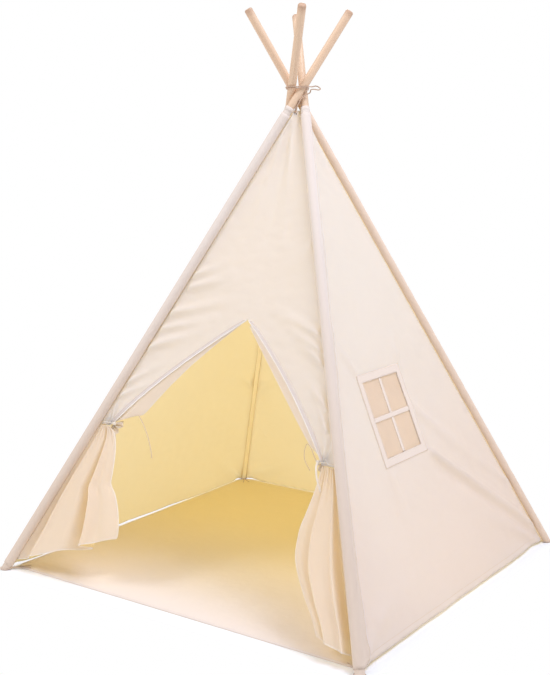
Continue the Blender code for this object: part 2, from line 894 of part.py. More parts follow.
def main():
    clear_scene()
    wood = material("pine", (0.78, 0.60, 0.40), 0.55)
    steel = material("ferrule steel", (0.62, 0.62, 0.60), 0.35, 1.0)
    canvas = material("cotton canvas", (0.90, 0.80, 0.72), 0.9)
    sleeve_cloth = material("sleeve canvas", (0.86, 0.77, 0.72), 0.9)
    flap_cloth = material("flap canvas", (0.91, 0.80, 0.69), 0.9)
    band_cloth = material("window band", (0.90, 0.79, 0.70), 0.9)
    pane_cloth = material("window sheer", (0.80, 0.66, 0.50), 0.95)
    mat_cloth = material("mat cotton", (0.88, 0.70, 0.44), 0.9)
    tape = material("tie cotton", (0.86, 0.76, 0.64), 0.9)
    twine = material("lash twine", (0.62, 0.45, 0.36), 0.85)
    dark_metal = material("eyelet metal", (0.12, 0.09, 0.06), 0.45, 1.0)

    offset = crossing_offset()
    poles = {corner: Pole(corner, offset) for corner in corners}
    for corner, pole in poles.items():
        make_pole(corner, pole, wood, steel)
        make_sleeve(corner, pole, sleeve_cloth)

    front = Wall(poles["front_left"], poles["front_right"])
    right = Wall(poles["front_right"], poles["back_right"])
    back = Wall(poles["back_right"], poles["back_left"])
    left = Wall(poles["back_left"], poles["front_left"])
    make_front_wall(front, canvas)
    make_plain_wall("back_wall", back, canvas)
    make_plain_wall("left_wall", left, canvas)
    window_high = make_right_wall(right, canvas)
    make_window(right, window_high, band_cloth, pane_cloth)
    left_corner = make_facing("door_facing_left", front, -1, left_facing_depth, flap_cloth)
    make_facing("door_facing_right", front, 1, right_facing_depth, flap_cloth)
    below = Wall(poles["front_left"], poles["front_right"], flap_seam_reach)
    left_sizes = (left_flap_hem_width, left_flap_hem_inner, left_flap_turn, left_flap_bulge)
    right_sizes = (right_flap_hem_width, right_flap_hem_inner, right_flap_turn, right_flap_bulge)
    make_flap("door_flap_left", below, -1, *left_sizes, flap_cloth)
    make_flap("door_flap_right", below, 1, *right_sizes, flap_cloth)
    make_mat(mat_cloth)
    for corner, pole in poles.items():
        make_mat_tie(corner, pole, tape)
    make_door_tie("left", front, -1, tape)
    right_knot = make_door_tie("right", front, 1, tape)
    left_start = left_corner - Vector((tail_diameter / 2, 0.0, 0.0))
    make_tail("left", left_start, fit_clearance, left_tail_route, tape)
    make_tail("right", right_knot, knot_width / 2 + fit_clearance, right_tail_route, tape)
    make_lashing(list(poles.values()), front, twine, dark_metal)


main()
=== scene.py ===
"""The looks of a child's play teepee, made round its fixed frame. Metres, +Z up, the door looks along -Y."""

import json
import math

import bmesh
import bpy
import numpy as np
from mathutils import Matrix, Vector, noise


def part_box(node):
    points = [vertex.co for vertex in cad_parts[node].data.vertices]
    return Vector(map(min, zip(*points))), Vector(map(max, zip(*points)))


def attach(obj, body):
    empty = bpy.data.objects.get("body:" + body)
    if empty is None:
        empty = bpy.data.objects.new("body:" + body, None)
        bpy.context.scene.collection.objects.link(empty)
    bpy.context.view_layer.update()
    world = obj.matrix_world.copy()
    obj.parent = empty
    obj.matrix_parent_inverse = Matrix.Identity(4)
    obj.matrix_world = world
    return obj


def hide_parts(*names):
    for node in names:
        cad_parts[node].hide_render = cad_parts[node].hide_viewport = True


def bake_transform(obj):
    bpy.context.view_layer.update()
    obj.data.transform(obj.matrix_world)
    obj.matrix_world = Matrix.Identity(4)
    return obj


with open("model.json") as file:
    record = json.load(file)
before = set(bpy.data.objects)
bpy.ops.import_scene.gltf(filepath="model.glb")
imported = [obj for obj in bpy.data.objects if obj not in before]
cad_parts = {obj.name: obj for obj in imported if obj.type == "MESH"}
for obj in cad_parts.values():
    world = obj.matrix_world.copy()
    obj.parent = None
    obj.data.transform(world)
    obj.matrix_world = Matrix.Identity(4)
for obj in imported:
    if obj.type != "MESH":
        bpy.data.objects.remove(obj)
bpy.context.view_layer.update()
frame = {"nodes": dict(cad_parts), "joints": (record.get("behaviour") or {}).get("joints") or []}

# Camera, fitted to the photograph
camera_place = (1.876, -2.889, 1.246)
camera_azimuth = math.radians(33.87)
camera_elevation = math.radians(9.33)
camera_roll = math.radians(1.00)
focal_pixels = 1163.6
image_long_side = 675
sensor = 36.0

# Sizes shared with the frame
base_side = 1.200
apex_height = frame["joints"][0]["pos_m"][2]
pole_radius = 0.012
pole_length = 1.905
pole_clearance = 0.0003
sleeve_radius = 0.0133
pocket_floor = 0.0012
crossing_offset = 0.0189
sleeve_top = 0.045
sleeve_cuff = 0.012
seam_angle = math.radians(26)
seam_reach = 0.0150
flap_seam_reach = 0.0142
hem_height = 0.009
back_hem_height = 0.0048
hem_clearance = 0.0046
wall_belly = 0.007
cloth = 0.0011
cloth_gap = 0.0003
on_cloth = 0.0008
wall_top = 1.3485
seam_merge = 0.00001

corners = {"front_left": (-1, -1), "front_right": (1, -1), "back_right": (1, 1), "back_left": (-1, 1)}


def link(name, data):
    made = bpy.data.objects.new(name, data)
    bpy.context.scene.collection.objects.link(made)
    return made


def make_camera():
    data = bpy.data.cameras.new("camera")
    data.sensor_fit = "AUTO"
    data.sensor_width = sensor
    data.lens = focal_pixels / image_long_side * sensor
    az, el, roll = camera_azimuth, camera_elevation, camera_roll
    back = Vector((math.sin(az) * math.cos(el), -math.cos(az) * math.cos(el), math.sin(el)))
    level = Vector((math.cos(az), math.sin(az), 0.0))
    rise = back.cross(level)
    right_way = level * math.cos(roll) + rise * math.sin(roll)
    up = rise * math.cos(roll) - level * math.sin(roll)
    made = link("camera", data)
    made.matrix_world = Matrix.Translation(camera_place) @ Matrix((right_way, up, back)).transposed().to_4x4()
    bpy.context.scene.camera = made


def spread(start, end, count):
    return np.linspace(start, end, count + 1)


def ease(share):
    share = np.clip(share, 0.0, 1.0)
    return share * share * (3 - 2 * share)


def distances(line):
    """How far along a line each of its points lies."""
    steps = np.linalg.norm(np.diff(np.asarray(line), axis=0), axis=1)
    return np.concatenate([[0.0], np.cumsum(steps)])


def length_of(line):
    return float(distances(line)[-1])


def on_line(line, lengths, wanted):
    return np.stack([np.interp(wanted, lengths, line[:, axis]) for axis in range(3)], axis=-1)


def smooth_line(route, step):
    """Points every step along a smooth curve through the route's points."""
    route = np.array([tuple(point) for point in route])
    ends = np.concatenate([[2 * route[0] - route[1]], route, [2 * route[-1] - route[-2]]])
    t = np.arange(16)[:, None] / 16
    fine = []
    for before, start, end, after in zip(ends, ends[1:], ends[2:], ends[3:]):
        bend = before * 2 - start * 5 + end * 4 - after
        turn = start * 3 - before - end * 3 + after
        fine.append(start + ((end - before) * t + bend * t ** 2 + turn * t ** 3) / 2)
    fine = np.concatenate(fine + [route[-1:]])
    lengths = distances(fine)
    count = max(2, round(lengths[-1] / step))
    return on_line(fine, lengths, spread(0.0, lengths[-1], count))


def uneven(points, size, seed):
    """Smooth noise between about -1 and 1 at each point, whose swells are about size metres wide."""
    points = np.asarray(points, float)
    flat = points.reshape(-1, 3) / size + np.array((seed, 0.37 * seed, -0.61 * seed))
    values = np.array([noise.noise(Vector(spot)) for spot in flat])
    return values.reshape(points.shape[:-1])


class Pole:
    """One pole's axis from its foot to its crossing with the others."""

    def __init__(self, corner):
        self.sign = Vector((*corners[corner], 0.0))
        half = base_side / 2
        out = self.sign.normalized()
        around = Vector((-out.y, out.x, 0.0))
        lean = math.atan2(math.hypot(half, half), apex_height)
        foot_height = pocket_floor + pole_clearance + pole_radius * math.sin(lean)
        self.foot = Vector((self.sign.x * half, self.sign.y * half, foot_height))
        self.cross = Vector((0.0, 0.0, apex_height)) + around * crossing_offset
        self.up = (self.cross - self.foot).normalized()
        self.inward = -(out - self.up * out.dot(self.up)).normalized()
        self.side = self.up.cross(self.inward)
        self.body = corner.split("_")[0] + "_frame"

    def at(self, height):
        return self.foot + self.up * ((height - self.foot.z) / self.up.z)

    def ways(self, angles):
        """The ways out from the axis, at angles from the inward one."""
        return np.outer(np.cos(angles), self.inward) + np.outer(np.sin(angles), self.side)

    def seam(self, neighbour, height, reach):
        side = self.side if self.side.dot(neighbour.foot - self.foot) > 0 else -self.side
        start = self.foot + (self.inward * math.cos(seam_angle) + side * math.sin(seam_angle)) * reach
        return start + self.up * ((height - start.z) / self.up.z)


class Wall:
    """A cloth wall between the seams of two sleeves; across runs from 0 at the left seam to 1."""

    def __init__(self, left_pole, right_pole, relief=None, reach=seam_reach):
        self.low_left = np.array(left_pole.seam(right_pole, 0.0, reach))
        self.rise_left = np.array(left_pole.seam(right_pole, 1.0, reach)) - self.low_left
        self.low_right = np.array(right_pole.seam(left_pole, 0.0, reach))
        self.rise_right = np.array(right_pole.seam(left_pole, 1.0, reach)) - self.low_right
        self.along = self.low_right - self.low_left
        self.along /= np.linalg.norm(self.along)
        self.axis = int(abs(self.along[1]) > abs(self.along[0]))
        slope = self.flat(0.5, 1.0) - self.flat(0.5, 0.0)
        self.out = np.cross(self.along, slope)
        self.out /= np.linalg.norm(self.out)
        if self.out @ self.flat(0.5, 0.5) < 0:
            self.out = -self.out
        self.slope = slope / np.linalg.norm(slope)
        self.grain = (self.along, self.slope)
        self.relief = relief

    def flat(self, across, height):
        across = np.asarray(across, float)[..., None]
        height = np.asarray(height, float)[..., None]
        start = self.low_left + self.rise_left * height
        end = self.low_right + self.rise_right * height
        return start * (1 - across) + end * across

    def place(self, across, height, lift=0.0):
        """The point of the wall, lifted outwards, with its belly and its folds."""
        rise = np.clip((height - hem_height) / (wall_top - hem_height), 0, 1)
        lift = lift - wall_belly * 4 * across * (1 - across) * np.sin(math.pi * rise)
        flat = self.flat(across, height)
        if self.relief:
            lift = lift + self.relief(flat, across, height)
        spots = flat + self.out * np.asarray(lift)[..., None]
        spots[..., 2] = np.maximum(spots[..., 2], hem_clearance)
        return spots

    def share_of(self, side, height):
        """How far across a place lies whose x is given, or its y on a side wall."""
        start = self.low_left[self.axis] + self.rise_left[self.axis] * height
        end = self.low_right[self.axis] + self.rise_right[self.axis] * height
        return (side - start) / (end - start)

    def at(self, side, height, lift=0.0):
        return self.place(self.share_of(side, height), height, lift)


# Materials

def new_material(name, roughness):
    made = bpy.data.materials.new(name)
    made.use_nodes = True
    shader = made.node_tree.nodes["Principled BSDF"]
    shader.inputs["Roughness"].default_value = roughness
    return made, made.node_tree, shader


def fill(tree, made, inputs):
    """Gives a node's inputs their numbers and colours, or links them to other nodes' outputs."""
    for key, value in inputs.items():
        socket = made.inputs[key]
        if isinstance(value, bpy.types.NodeSocket):
            tree.links.new(value, socket)
        elif socket.type == "RGBA":
            socket.default_value = (*value, 1.0)
        else:
            socket.default_value = value


def node(tree, kind, inputs=None, **settings):
    made = tree.nodes.new(f"ShaderNode{kind}")
    for key, value in settings.items():
        setattr(made, key, value)
    fill(tree, made, inputs or {})
    return made


def math_node(tree, operation, first, second=0.5):
    return node(tree, "Math", {0: first, 1: second}, operation=operation).outputs[0]


def vector_node(tree, operation, inputs):
    made = node(tree, "VectorMath", inputs, operation=operation)
    return made.outputs["Value" if operation == "DOT_PRODUCT" else "Vector"]


def mix_colour(tree, share, first, second, blend_type="MIX"):
    inputs = {0: share, 6: first, 7: second}
    return node(tree, "Mix", inputs, data_type="RGBA", blend_type=blend_type).outputs[2]


def noise_node(tree, where, scale, detail=2.0, distortion=0.0):
    inputs = {"Vector": where, "Scale": scale, "Detail": detail, "Distortion": distortion}
    return node(tree, "TexNoise", inputs).outputs["Fac"]


def bump_node(tree, height, strength, distance, inputs=None):
    inputs = {"Height": height, "Strength": strength, "Distance": distance, **(inputs or {})}
    return node(tree, "Bump", inputs).outputs[0]


def share_between(tree, value, start, end):
    """0 where the value is at the start, 1 where it is at the end, and smooth between them."""
    inputs = {"Value": value, "From Min": start, "From Max": end}
    return node(tree, "MapRange", inputs, interpolation_type="SMOOTHSTEP").outputs["Result"]


def mix_surface(tree, share, first, second):
    mixed = node(tree, "MixShader", {0: share, 1: first, 2: second})
    tree.links.new(mixed.outputs[0], tree.nodes["Material Output"].inputs["Surface"])


def places_of(tree):
    return node(tree, "TexCoord").outputs["Object"]


def cloth_material(
    name, colour, shade=None, pitch=0.0016, through=0.0, crumple=0.0006, painted_light_ramp=None, glow=None, painted_emission=0.0
):
    """Cotton: woven threads, slubs, faint blotches and a soft crumple; the glow is what passes through it.
    An emission can add a painted glow, as if light seeped along a seam, and a tint multiplied in along an
    axis, from a start to an end, paints shade or glow onto it."""
    made, tree, shader = new_material(name, 0.9)
    shade = shade or colour
    where = places_of(tree)
    threads = node(tree, "UVMap", uv_map="threads").outputs[0]
    parts = node(tree, "SeparateXYZ", {0: threads}).outputs
    turn = 2 * math.pi / pitch
    warp, weft = [math_node(tree, "SINE", math_node(tree, "MULTIPLY", parts[axis], turn)) for axis in (0, 1)]
    weave = math_node(tree, "MULTIPLY", warp, weft)
    slub = noise_node(tree, vector_node(tree, "MULTIPLY", {0: threads, 1: (60.0, 900.0, 1.0)}), 1.0)
    tone = mix_colour(tree, noise_node(tree, where, 5.0, 3.0), shade, colour)
    depth = math_node(tree, "MULTIPLY", math_node(tree, "ADD", weave, 1.0), 0.035)
    woven = mix_colour(tree, depth, tone, shade)
    final = mix_colour(tree, math_node(tree, "MULTIPLY", slub, 0.10), woven, shade)
    # Painted shade or painted glow: a colour multiplied in along one axis of the object
    if painted_light_ramp:
        tint, axis, start, end = painted_light_ramp
        place = node(tree, "SeparateXYZ", {0: where}).outputs[axis]
        final = mix_colour(tree, share_between(tree, place, start, end), final, tint, "MULTIPLY")
    broad = bump_node(tree, noise_node(tree, where, 38.0, 4.0), 0.5, crumple * 4)
    fine = bump_node(tree, weave, 0.25, 0.0002, {"Normal": broad})
    fill(tree, shader, {"Base Color": final, "Normal": fine, "Sheen Weight": 0.05})
    # Painted glow: the cloth gives off light in its own colour
    if painted_emission:
        fill(tree, shader, {"Emission Color": final, "Emission Strength": painted_emission})
    if through:
        lit = node(tree, "BsdfTranslucent", {"Color": glow or final, "Normal": fine})
        mix_surface(tree, through, shader.outputs[0], lit.outputs[0])
    return made


# Meshes

def merge_seams(mesh):
    """Joins points of a grid that lie on each other, such as both sides of a closed seam."""
    shape = bmesh.new()
    shape.from_mesh(mesh)
    bmesh.ops.remove_doubles(shape, verts=shape.verts, dist=seam_merge)
    shape.to_mesh(mesh)
    shape.free()


def mesh_piece(name, points, faces, threads, finishes, shares=None, merged=False):
    """An object whose map holds real metres along the threads, and whose points may each hold a share:
    how much they follow the front body and not the back one."""
    mesh = bpy.data.meshes.new(name)
    mesh.from_pydata(points.tolist(), [], faces)
    loops = np.zeros(len(mesh.loops), np.int32)
    mesh.loops.foreach_get("vertex_index", loops)
    layer = mesh.uv_layers.new(name="threads")
    layer.data.foreach_set("uv", threads[loops].astype(np.float32).ravel())
    if shares is not None:
        values = shares(points) if callable(shares) else shares
        attribute = mesh.attributes.new("own_share", "FLOAT", "POINT")
        attribute.data.foreach_set("value", np.asarray(values, np.float32))
    if merged:
        merge_seams(mesh)
    mesh.shade_smooth()
    for finish in finishes:
        mesh.materials.append(finish)
    return link(name, mesh)


def cloth_sheet(name, rows, grain, finishes, thickness=cloth, gaps=(), shares=None):
    """A sheet from a grid of points, open at the cells that are gaps."""
    rows = np.asarray(rows, float)
    high, wide = rows.shape[:2]
    cells = np.arange(high * wide).reshape(high, wide)
    faces = np.stack([cells[:-1, :-1], cells[:-1, 1:], cells[1:, 1:], cells[1:, :-1]], axis=2)
    closed = np.ones((high, wide), bool)
    for cell in gaps:
        closed[cell] = False
    used, faces = np.unique(faces[closed[:-1, :-1]], return_inverse=True)
    points = rows.reshape(-1, 3)[used]
    threads = np.stack([points @ np.asarray(way) for way in grain], axis=1)
    if shares is not None:
        shares = np.asarray(shares).ravel()[used]
    made = mesh_piece(name, points, faces.reshape(-1, 4).tolist(), threads, finishes, shares, merged=True)
    if thickness:
        solid = made.modifiers.new("thickness", "SOLIDIFY")
        solid.thickness = thickness
        solid.offset = 0.0
        if len(finishes) > 1:
            solid.material_offset = 1
    return made


def tube_faces(rings, sides, base=0):
    """The faces of a closed tube, whose rings of points follow each other from a base."""
    turn = np.arange(sides)
    after = np.roll(turn, -1)
    low = base + np.arange(rings - 1)[:, None] * sides
    walls = np.stack([low + turn, low + after, low + sides + after, low + sides + turn], axis=2)
    ends = [(base + turn)[::-1], base + (rings - 1) * sides + turn]
    return walls.reshape(-1, 4).tolist() + [end.tolist() for end in ends]


def tube_mesh(name, points, radius, finish, sides=8, shares=None, lobes=(0, 0.0, 0.0), flat=(1.0, 1.0)):
    """A closed tube along points, whose section may have turning lobes or be flattened."""
    points = np.asarray(points, float)
    tangents = np.gradient(points, axis=0)
    tangents /= np.linalg.norm(tangents, axis=1)[:, None]
    across = np.cross(tangents[0], (0.31, 0.27, 0.91))
    angles = np.arange(sides) * 2 * math.pi / sides
    lobe_count, lobe_share, twist = lobes
    rings, threads = [], []
    for point, tangent, far in zip(points, tangents, distances(points)):
        across = across - tangent * (across @ tangent)
        across /= np.linalg.norm(across)
        swell = radius * (1 + lobe_share * np.cos(lobe_count * (angles + twist * far)))
        ring = np.outer(np.cos(angles) * swell * flat[0], across)
        ring += np.outer(np.sin(angles) * swell * flat[1], np.cross(tangent, across))
        rings.append(point + ring)
        threads.append(np.stack([angles * radius, np.full(sides, far)], axis=1))
    faces = tube_faces(len(points), sides)
    if isinstance(shares, np.ndarray):
        shares = np.repeat(shares, sides)
    return mesh_piece(name, np.concatenate(rings), faces, np.concatenate(threads), (finish,), shares)


# Stitches
stitch_length = 0.0034
stitch_spacing = 0.0052
stitch_radius = 0.00055
stitch_height = 0.0002
stitch_sides = 5
stitch_reaches = np.array((-0.5, -0.25, 0.25, 0.5))
stitch_widths = np.array((0.35, 1.0, 1.0, 0.35))
stitch_points = len(stitch_reaches) * stitch_sides


def stitch_mesh(name, seams, shares=None):
    """Short threads along seams; each seam is a line of points with the outward way of its cloth."""
    turns = np.arange(stitch_sides) * 2 * math.pi / stitch_sides
    points, faces, own = [], [], []
    for index, (line, outward) in enumerate(seams):
        line = np.asarray(line, float)
        lengths = distances(line)
        count = int(lengths[-1] / stitch_spacing)
        for middle in (np.arange(count) + 0.5) * lengths[-1] / count:
            ends = middle + np.array((-0.5, 0.0, 0.5)) * stitch_length
            before, centre, after = on_line(line, lengths, ends)
            along = (after - before) / np.linalg.norm(after - before)
            side = np.cross(along, outward)
            side /= np.linalg.norm(side)
            ring = np.outer(np.cos(turns), side) + np.outer(np.sin(turns) * 0.8, outward)
            far = (stitch_reaches * stitch_length)[:, None, None]
            wide = (stitch_radius * stitch_widths)[:, None, None]
            faces += tube_faces(len(stitch_reaches), stitch_sides, len(points) * stitch_points)
            points.append((centre + far * along + wide * ring).reshape(-1, 3))
            if isinstance(shares, list):
                own += [np.interp(middle, lengths, shares[index])] * stitch_points
    points = np.concatenate(points)
    return mesh_piece(name, points, faces, points[:, 1:], (thread,), own or shares)


def settle(piece, body, replaced=None):
    """Parents a piece to the empty of its body; a piece between the bodies or on a flap is only baked in
    place, its shares dropped, and the solid it replaces is hidden.
    """
    if body == "both":
        values = np.zeros(len(piece.data.vertices), np.float32)
        piece.data.attributes["own_share"].data.foreach_get("value", values)
        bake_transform(piece)
        piece.data.attributes.remove(piece.data.attributes["own_share"])
    elif body.startswith("flap"):
        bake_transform(piece)
    else:
        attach(piece, body)
    if replaced:
        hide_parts(replaced)


def declare_sheet(rows, held, gaps=()):
    """Works out the width and height that a grid of points spans, and its area without the open cells, but
    keeps none of them.
    """
    rows = np.asarray(rows)
    width = max(length_of(row) for row in rows)
    if held != "gathered":
        width = float(np.linalg.norm(rows[:, -1] - rows[:, 0], axis=1).max())
    height = max(length_of(rows[:, 0]), length_of(rows[:, -1]))
    up, along = rows[1:, :-1], rows[:-1, 1:]
    first = np.linalg.norm(np.cross(up - rows[:-1, :-1], along - rows[:-1, :-1]), axis=2)
    second = np.linalg.norm(np.cross(up - rows[1:, 1:], along - rows[1:, 1:]), axis=2)
    area = (first + second) / 2
    for row, column in gaps:
        if row < len(area):
            area[row, column] = 0.0
    area = min(float(area.sum()), width * height)


make_camera()
poles = {corner: Pole(corner) for corner in corners}

# The cloths and twines, each with its colour, its shade and the light that passes through it; some carry
# painted glow, painted shade or a painted highlight
mat_front_colour = (0.850, 0.750, 0.675)
# Painted glow: the back of the mat is painted the yellow of the light inside the tent, and the mat's colour
# is multiplied from its own cream at the front towards it
mat_back_painted_glow = (1.000, 0.850, 0.490)
mat_painted_glow_tint = tuple(far / near for far, near in zip(mat_back_painted_glow, mat_front_colour))
tie_colour = (0.840, 0.740, 0.600)
twine_shade = (0.440, 0.280, 0.180)
# Painted shade: the outside of the right wall darkens towards its foot
side_low_painted_shade = (1.000, 0.910, 0.900)
sleeve_low_painted_shade = (0.930, 0.870, 0.800)

outer = cloth_material(
    "wall_outside", (0.848, 0.832, 0.840), (0.826, 0.804, 0.800), through=0.45, glow=(0.985, 0.975, 0.985)
)
# The outside of the right wall is the wall cotton painted a little cooler for the light on that side, with
# painted shade towards its foot
outer_side_painted_light = cloth_material(
    "wall_outside_right_painted_light", (0.846, 0.838, 0.858), (0.820, 0.813, 0.818), through=0.45,
    glow=(0.980, 0.980, 1.000), painted_light_ramp=(side_low_painted_shade, 2, 0.95, 0.10),
)
# Painted glow: the inside faces of the walls and flaps are the same cotton painted warm yellow, and the light
# through them is tinted yellow, for the glow inside the tent
inner_painted_glow = cloth_material(
    "wall_inside_painted_glow", (0.998, 0.920, 0.790), (0.990, 0.905, 0.740), through=0.68, glow=(1.000, 0.870, 0.480)
)
# Painted shade: the sleeves darken towards their feet
sleeve_cloth = cloth_material(
    "sleeve_cloth", (0.796, 0.688, 0.587), (0.755, 0.642, 0.540), painted_light_ramp=(sleeve_low_painted_shade, 2, 1.10, 0.15)
)
# Painted shade: the back sleeves are the sleeve cotton painted darker and tanner, for their shaded side
sleeve_back_painted_shade = cloth_material("sleeve_back_painted_shade", (0.800, 0.620, 0.465), (0.760, 0.570, 0.410))
flap_cloth = cloth_material(
    "flap_cloth", (0.880, 0.822, 0.785), (0.850, 0.782, 0.735), through=0.50, glow=(1.000, 0.920, 0.740)
)
rim_cloth = cloth_material("rim_cloth", (0.890, 0.800, 0.680))
# Painted highlight: the rolled rims of the door are painted lighter than the cotton they are rolled from
door_rim_painted_highlight = cloth_material("door_rim_painted_highlight", (0.960, 0.890, 0.800))
# Painted glow: the seam cotton is painted yellow and gives off a little light, for light seeping in at the
# corners
seam_painted_glow_cloth = cloth_material("corner_seam", (1.000, 0.890, 0.600), painted_emission=0.17)
pane_cloth = cloth_material(
    "sheer_cloth", (0.940, 0.850, 0.750), (0.880, 0.770, 0.650), pitch=0.0012, through=0.6
)
hem_cloth = cloth_material("hem_cloth", (0.735, 0.630, 0.545))
band_cloth = cloth_material("band_cloth", (0.850, 0.714, 0.580), (0.820, 0.670, 0.535))
# The mat carries painted glow, which grows towards its back
mat_cloth = cloth_material("mat_cloth", mat_front_colour, crumple=0.001, painted_light_ramp=(mat_painted_glow_tint, 1, -0.60, 0.30))
mat_edge_cloth = cloth_material("mat_edge", (0.780, 0.650, 0.520))
string_cloth = cloth_material("tie_string", (0.640, 0.500, 0.400), pitch=0.0008)
thread = cloth_material("sewing_thread", (0.760, 0.640, 0.560), tie_colour, pitch=0.0006)
tie_cloth = cloth_material("tie_cloth", tie_colour, pitch=0.0010)
twine = cloth_material("lash_twine", (0.760, 0.560, 0.400), twine_shade, pitch=0.0012)
# Painted shade: the knot is the lashing twine painted almost black for the shade in its turns
knot_twine_painted_shade = cloth_material("knot_twine_painted_shade", (0.220, 0.110, 0.060), twine_shade, pitch=0.0012)


# Pine poles, steel ferrules and the eyelet keep their solids
pine_dark = (0.680, 0.450, 0.280)
pine_light = (0.880, 0.660, 0.450)
pine_ring = (0.640, 0.420, 0.260)
pine_end = (0.700, 0.620, 0.600)
grain_across = 150.0
grain_along = 7.0
end_darkening_start = -0.030
end_darkening_end = 0.004


def wood_material(corner):
    """Pine whose grain runs along its own pole, with a darker end."""
    made, tree, shader = new_material(f"pine_{corner}", 0.5)
    pole = poles[corner]
    where = places_of(tree)
    along = vector_node(tree, "DOT_PRODUCT", {0: where, 1: pole.up})
    squeeze = math_node(tree, "MULTIPLY", along, grain_along / grain_across - 1)
    shift = vector_node(tree, "SCALE", {0: pole.up, 3: squeeze})
    squeezed = vector_node(tree, "ADD", {0: where, 1: shift})
    grain = noise_node(tree, squeezed, grain_across, 5.0)
    rings = noise_node(tree, squeezed, grain_across * 0.3, distortion=1.2)
    tone = mix_colour(tree, grain, pine_dark, pine_light)
    tone = mix_colour(tree, math_node(tree, "MULTIPLY", rings, 0.45), tone, pine_ring)
    tip = pole_length + pole.foot.dot(pole.up)
    # The last few centimetres towards the tip are darkened
    tip_darkening = share_between(tree, along, tip + end_darkening_start, tip + end_darkening_end)
    tone = mix_colour(tree, tip_darkening, tone, pine_end, "MULTIPLY")
    fill(tree, shader, {"Base Color": tone, "Normal": bump_node(tree, grain, 0.25, 0.0003)})
    return made


def steel_material(name, colour, roughness):
    made, tree, shader = new_material(name, roughness)
    wear = noise_node(tree, places_of(tree), 220.0)
    tone = mix_colour(tree, wear, tuple(0.6 * part for part in colour), colour)
    fill(tree, shader, {"Metallic": 1.0, "Base Color": tone})
    return made


def dress_solids():
    kinds = {f"pole_{corner}": (wood_material(corner), "pine") for corner in corners}
    kinds["ferrule_"] = (steel_material("drawn_steel", (0.62, 0.62, 0.60), 0.35), "ferrule_steel")
    kinds["top_eyelet"] = (steel_material("eyelet_dark", (0.10, 0.07, 0.05), 0.5), "eyelet_metal")
    for name, solid in frame["nodes"].items():
        for start, (finish, slot_name) in kinds.items():
            if name.startswith(start):
                solid.data.materials.clear()
                solid.data.materials.append(finish)


dress_solids()


# Sleeves
sleeve_rest = 0.0129
sleeve_lift = 0.0004
sole_height = 0.0005
sole_reach = 0.006
cuff_swell = 0.0007
cuff_fold = 0.0008
crumple_height = 0.0009
crumple_size = 0.016
crease_height = 0.4 * crumple_height
crease_size = 0.006
crumple_limits = (-0.0003, 0.0011)


def make_sleeve(corner):
    """A pocket of cloth round a pole, closed at its foot, with a folded cuff at its open top."""
    pole = poles[corner]
    up, foot = np.array(pole.up), np.array(pole.foot)
    top = (pole.cross - pole.foot).length - sleeve_top
    ways = pole.ways(spread(0, 2 * math.pi, 44))
    lows = -(foot[2] + ways[:, 2] * sleeve_rest) / up[2] + sleeve_lift
    sole = foot - up * ((foot[2] - sole_height) / up[2])
    rim = foot + ways * sleeve_rest + up * lows[:, None]
    rows = [sole + (rim - sole) * share for share in (0.02, 0.5, 0.9)]
    plain = spread(0, 1, 300)
    edge = 1 - sleeve_cuff / top
    for share in np.sort(np.concatenate([plain[plain < edge], [edge, edge + 0.0004, 1.0]])):
        along = lows * (1 - share) + top * share
        seeds = ways * 0.012 + np.outer(along, up) * 0.55
        crumple = crumple_height * uneven(seeds, crumple_size, 7.0 * pole.sign.x + pole.sign.y)
        crumple = crumple - crease_height * np.abs(uneven(seeds, crease_size, 2.0 + pole.sign.y))
        radius = sleeve_rest + np.clip(crumple, *crumple_limits)
        if share > edge:
            radius = sleeve_rest + cuff_swell + crumple * 0.4
        rows.append(foot + ways * radius[:, None] + along[:, None] * up)
    rows.append(foot + ways * (sleeve_rest - cuff_fold * 0.4) + (top + cuff_fold * 0.5) * up)
    rows.append(foot + ways * (sleeve_rest - cuff_fold * 0.6) + (top - cuff_fold * 5) * up)
    # The back sleeves take the copy of the sleeve cotton that carries painted shade
    cover = sleeve_cloth if corner.startswith("front") else sleeve_back_painted_shade
    piece = cloth_sheet(f"cloth_sleeve_{corner}", rows, (pole.side, up), (cover, seam_painted_glow_cloth), thickness=0.0)
    # The faces that look into the tent take the seam cotton with its painted glow
    for face in piece.data.polygons:
        way = np.array(face.center) - foot
        way -= up * (way @ up)
        reach = np.linalg.norm(way)
        if reach > sole_reach and way @ pole.inward > reach * math.cos(seam_angle):
            face.material_index = 1
    settle(piece, pole.body, f"sleeve_{corner}")


for corner in corners:
    make_sleeve(corner)


# The door, given by the places of its top and its ties
door_apex_height = 0.769
door_apex_side = 0.018
tie_height = 0.436
tie_rise = 0.007
tie_side = base_side / 2 * (1 - tie_height / apex_height) - 0.0515
door_bow = 0.021


def door_share(height):
    return (height - tie_height) / (door_apex_height - tie_height)


def front_x(sign, height):
    """The x of the door's left or right edge at a height."""
    share = door_share(height)
    low = sign * tie_side
    return low + (door_apex_side - low) * share + sign * door_bow * 4 * share * (1 - share)


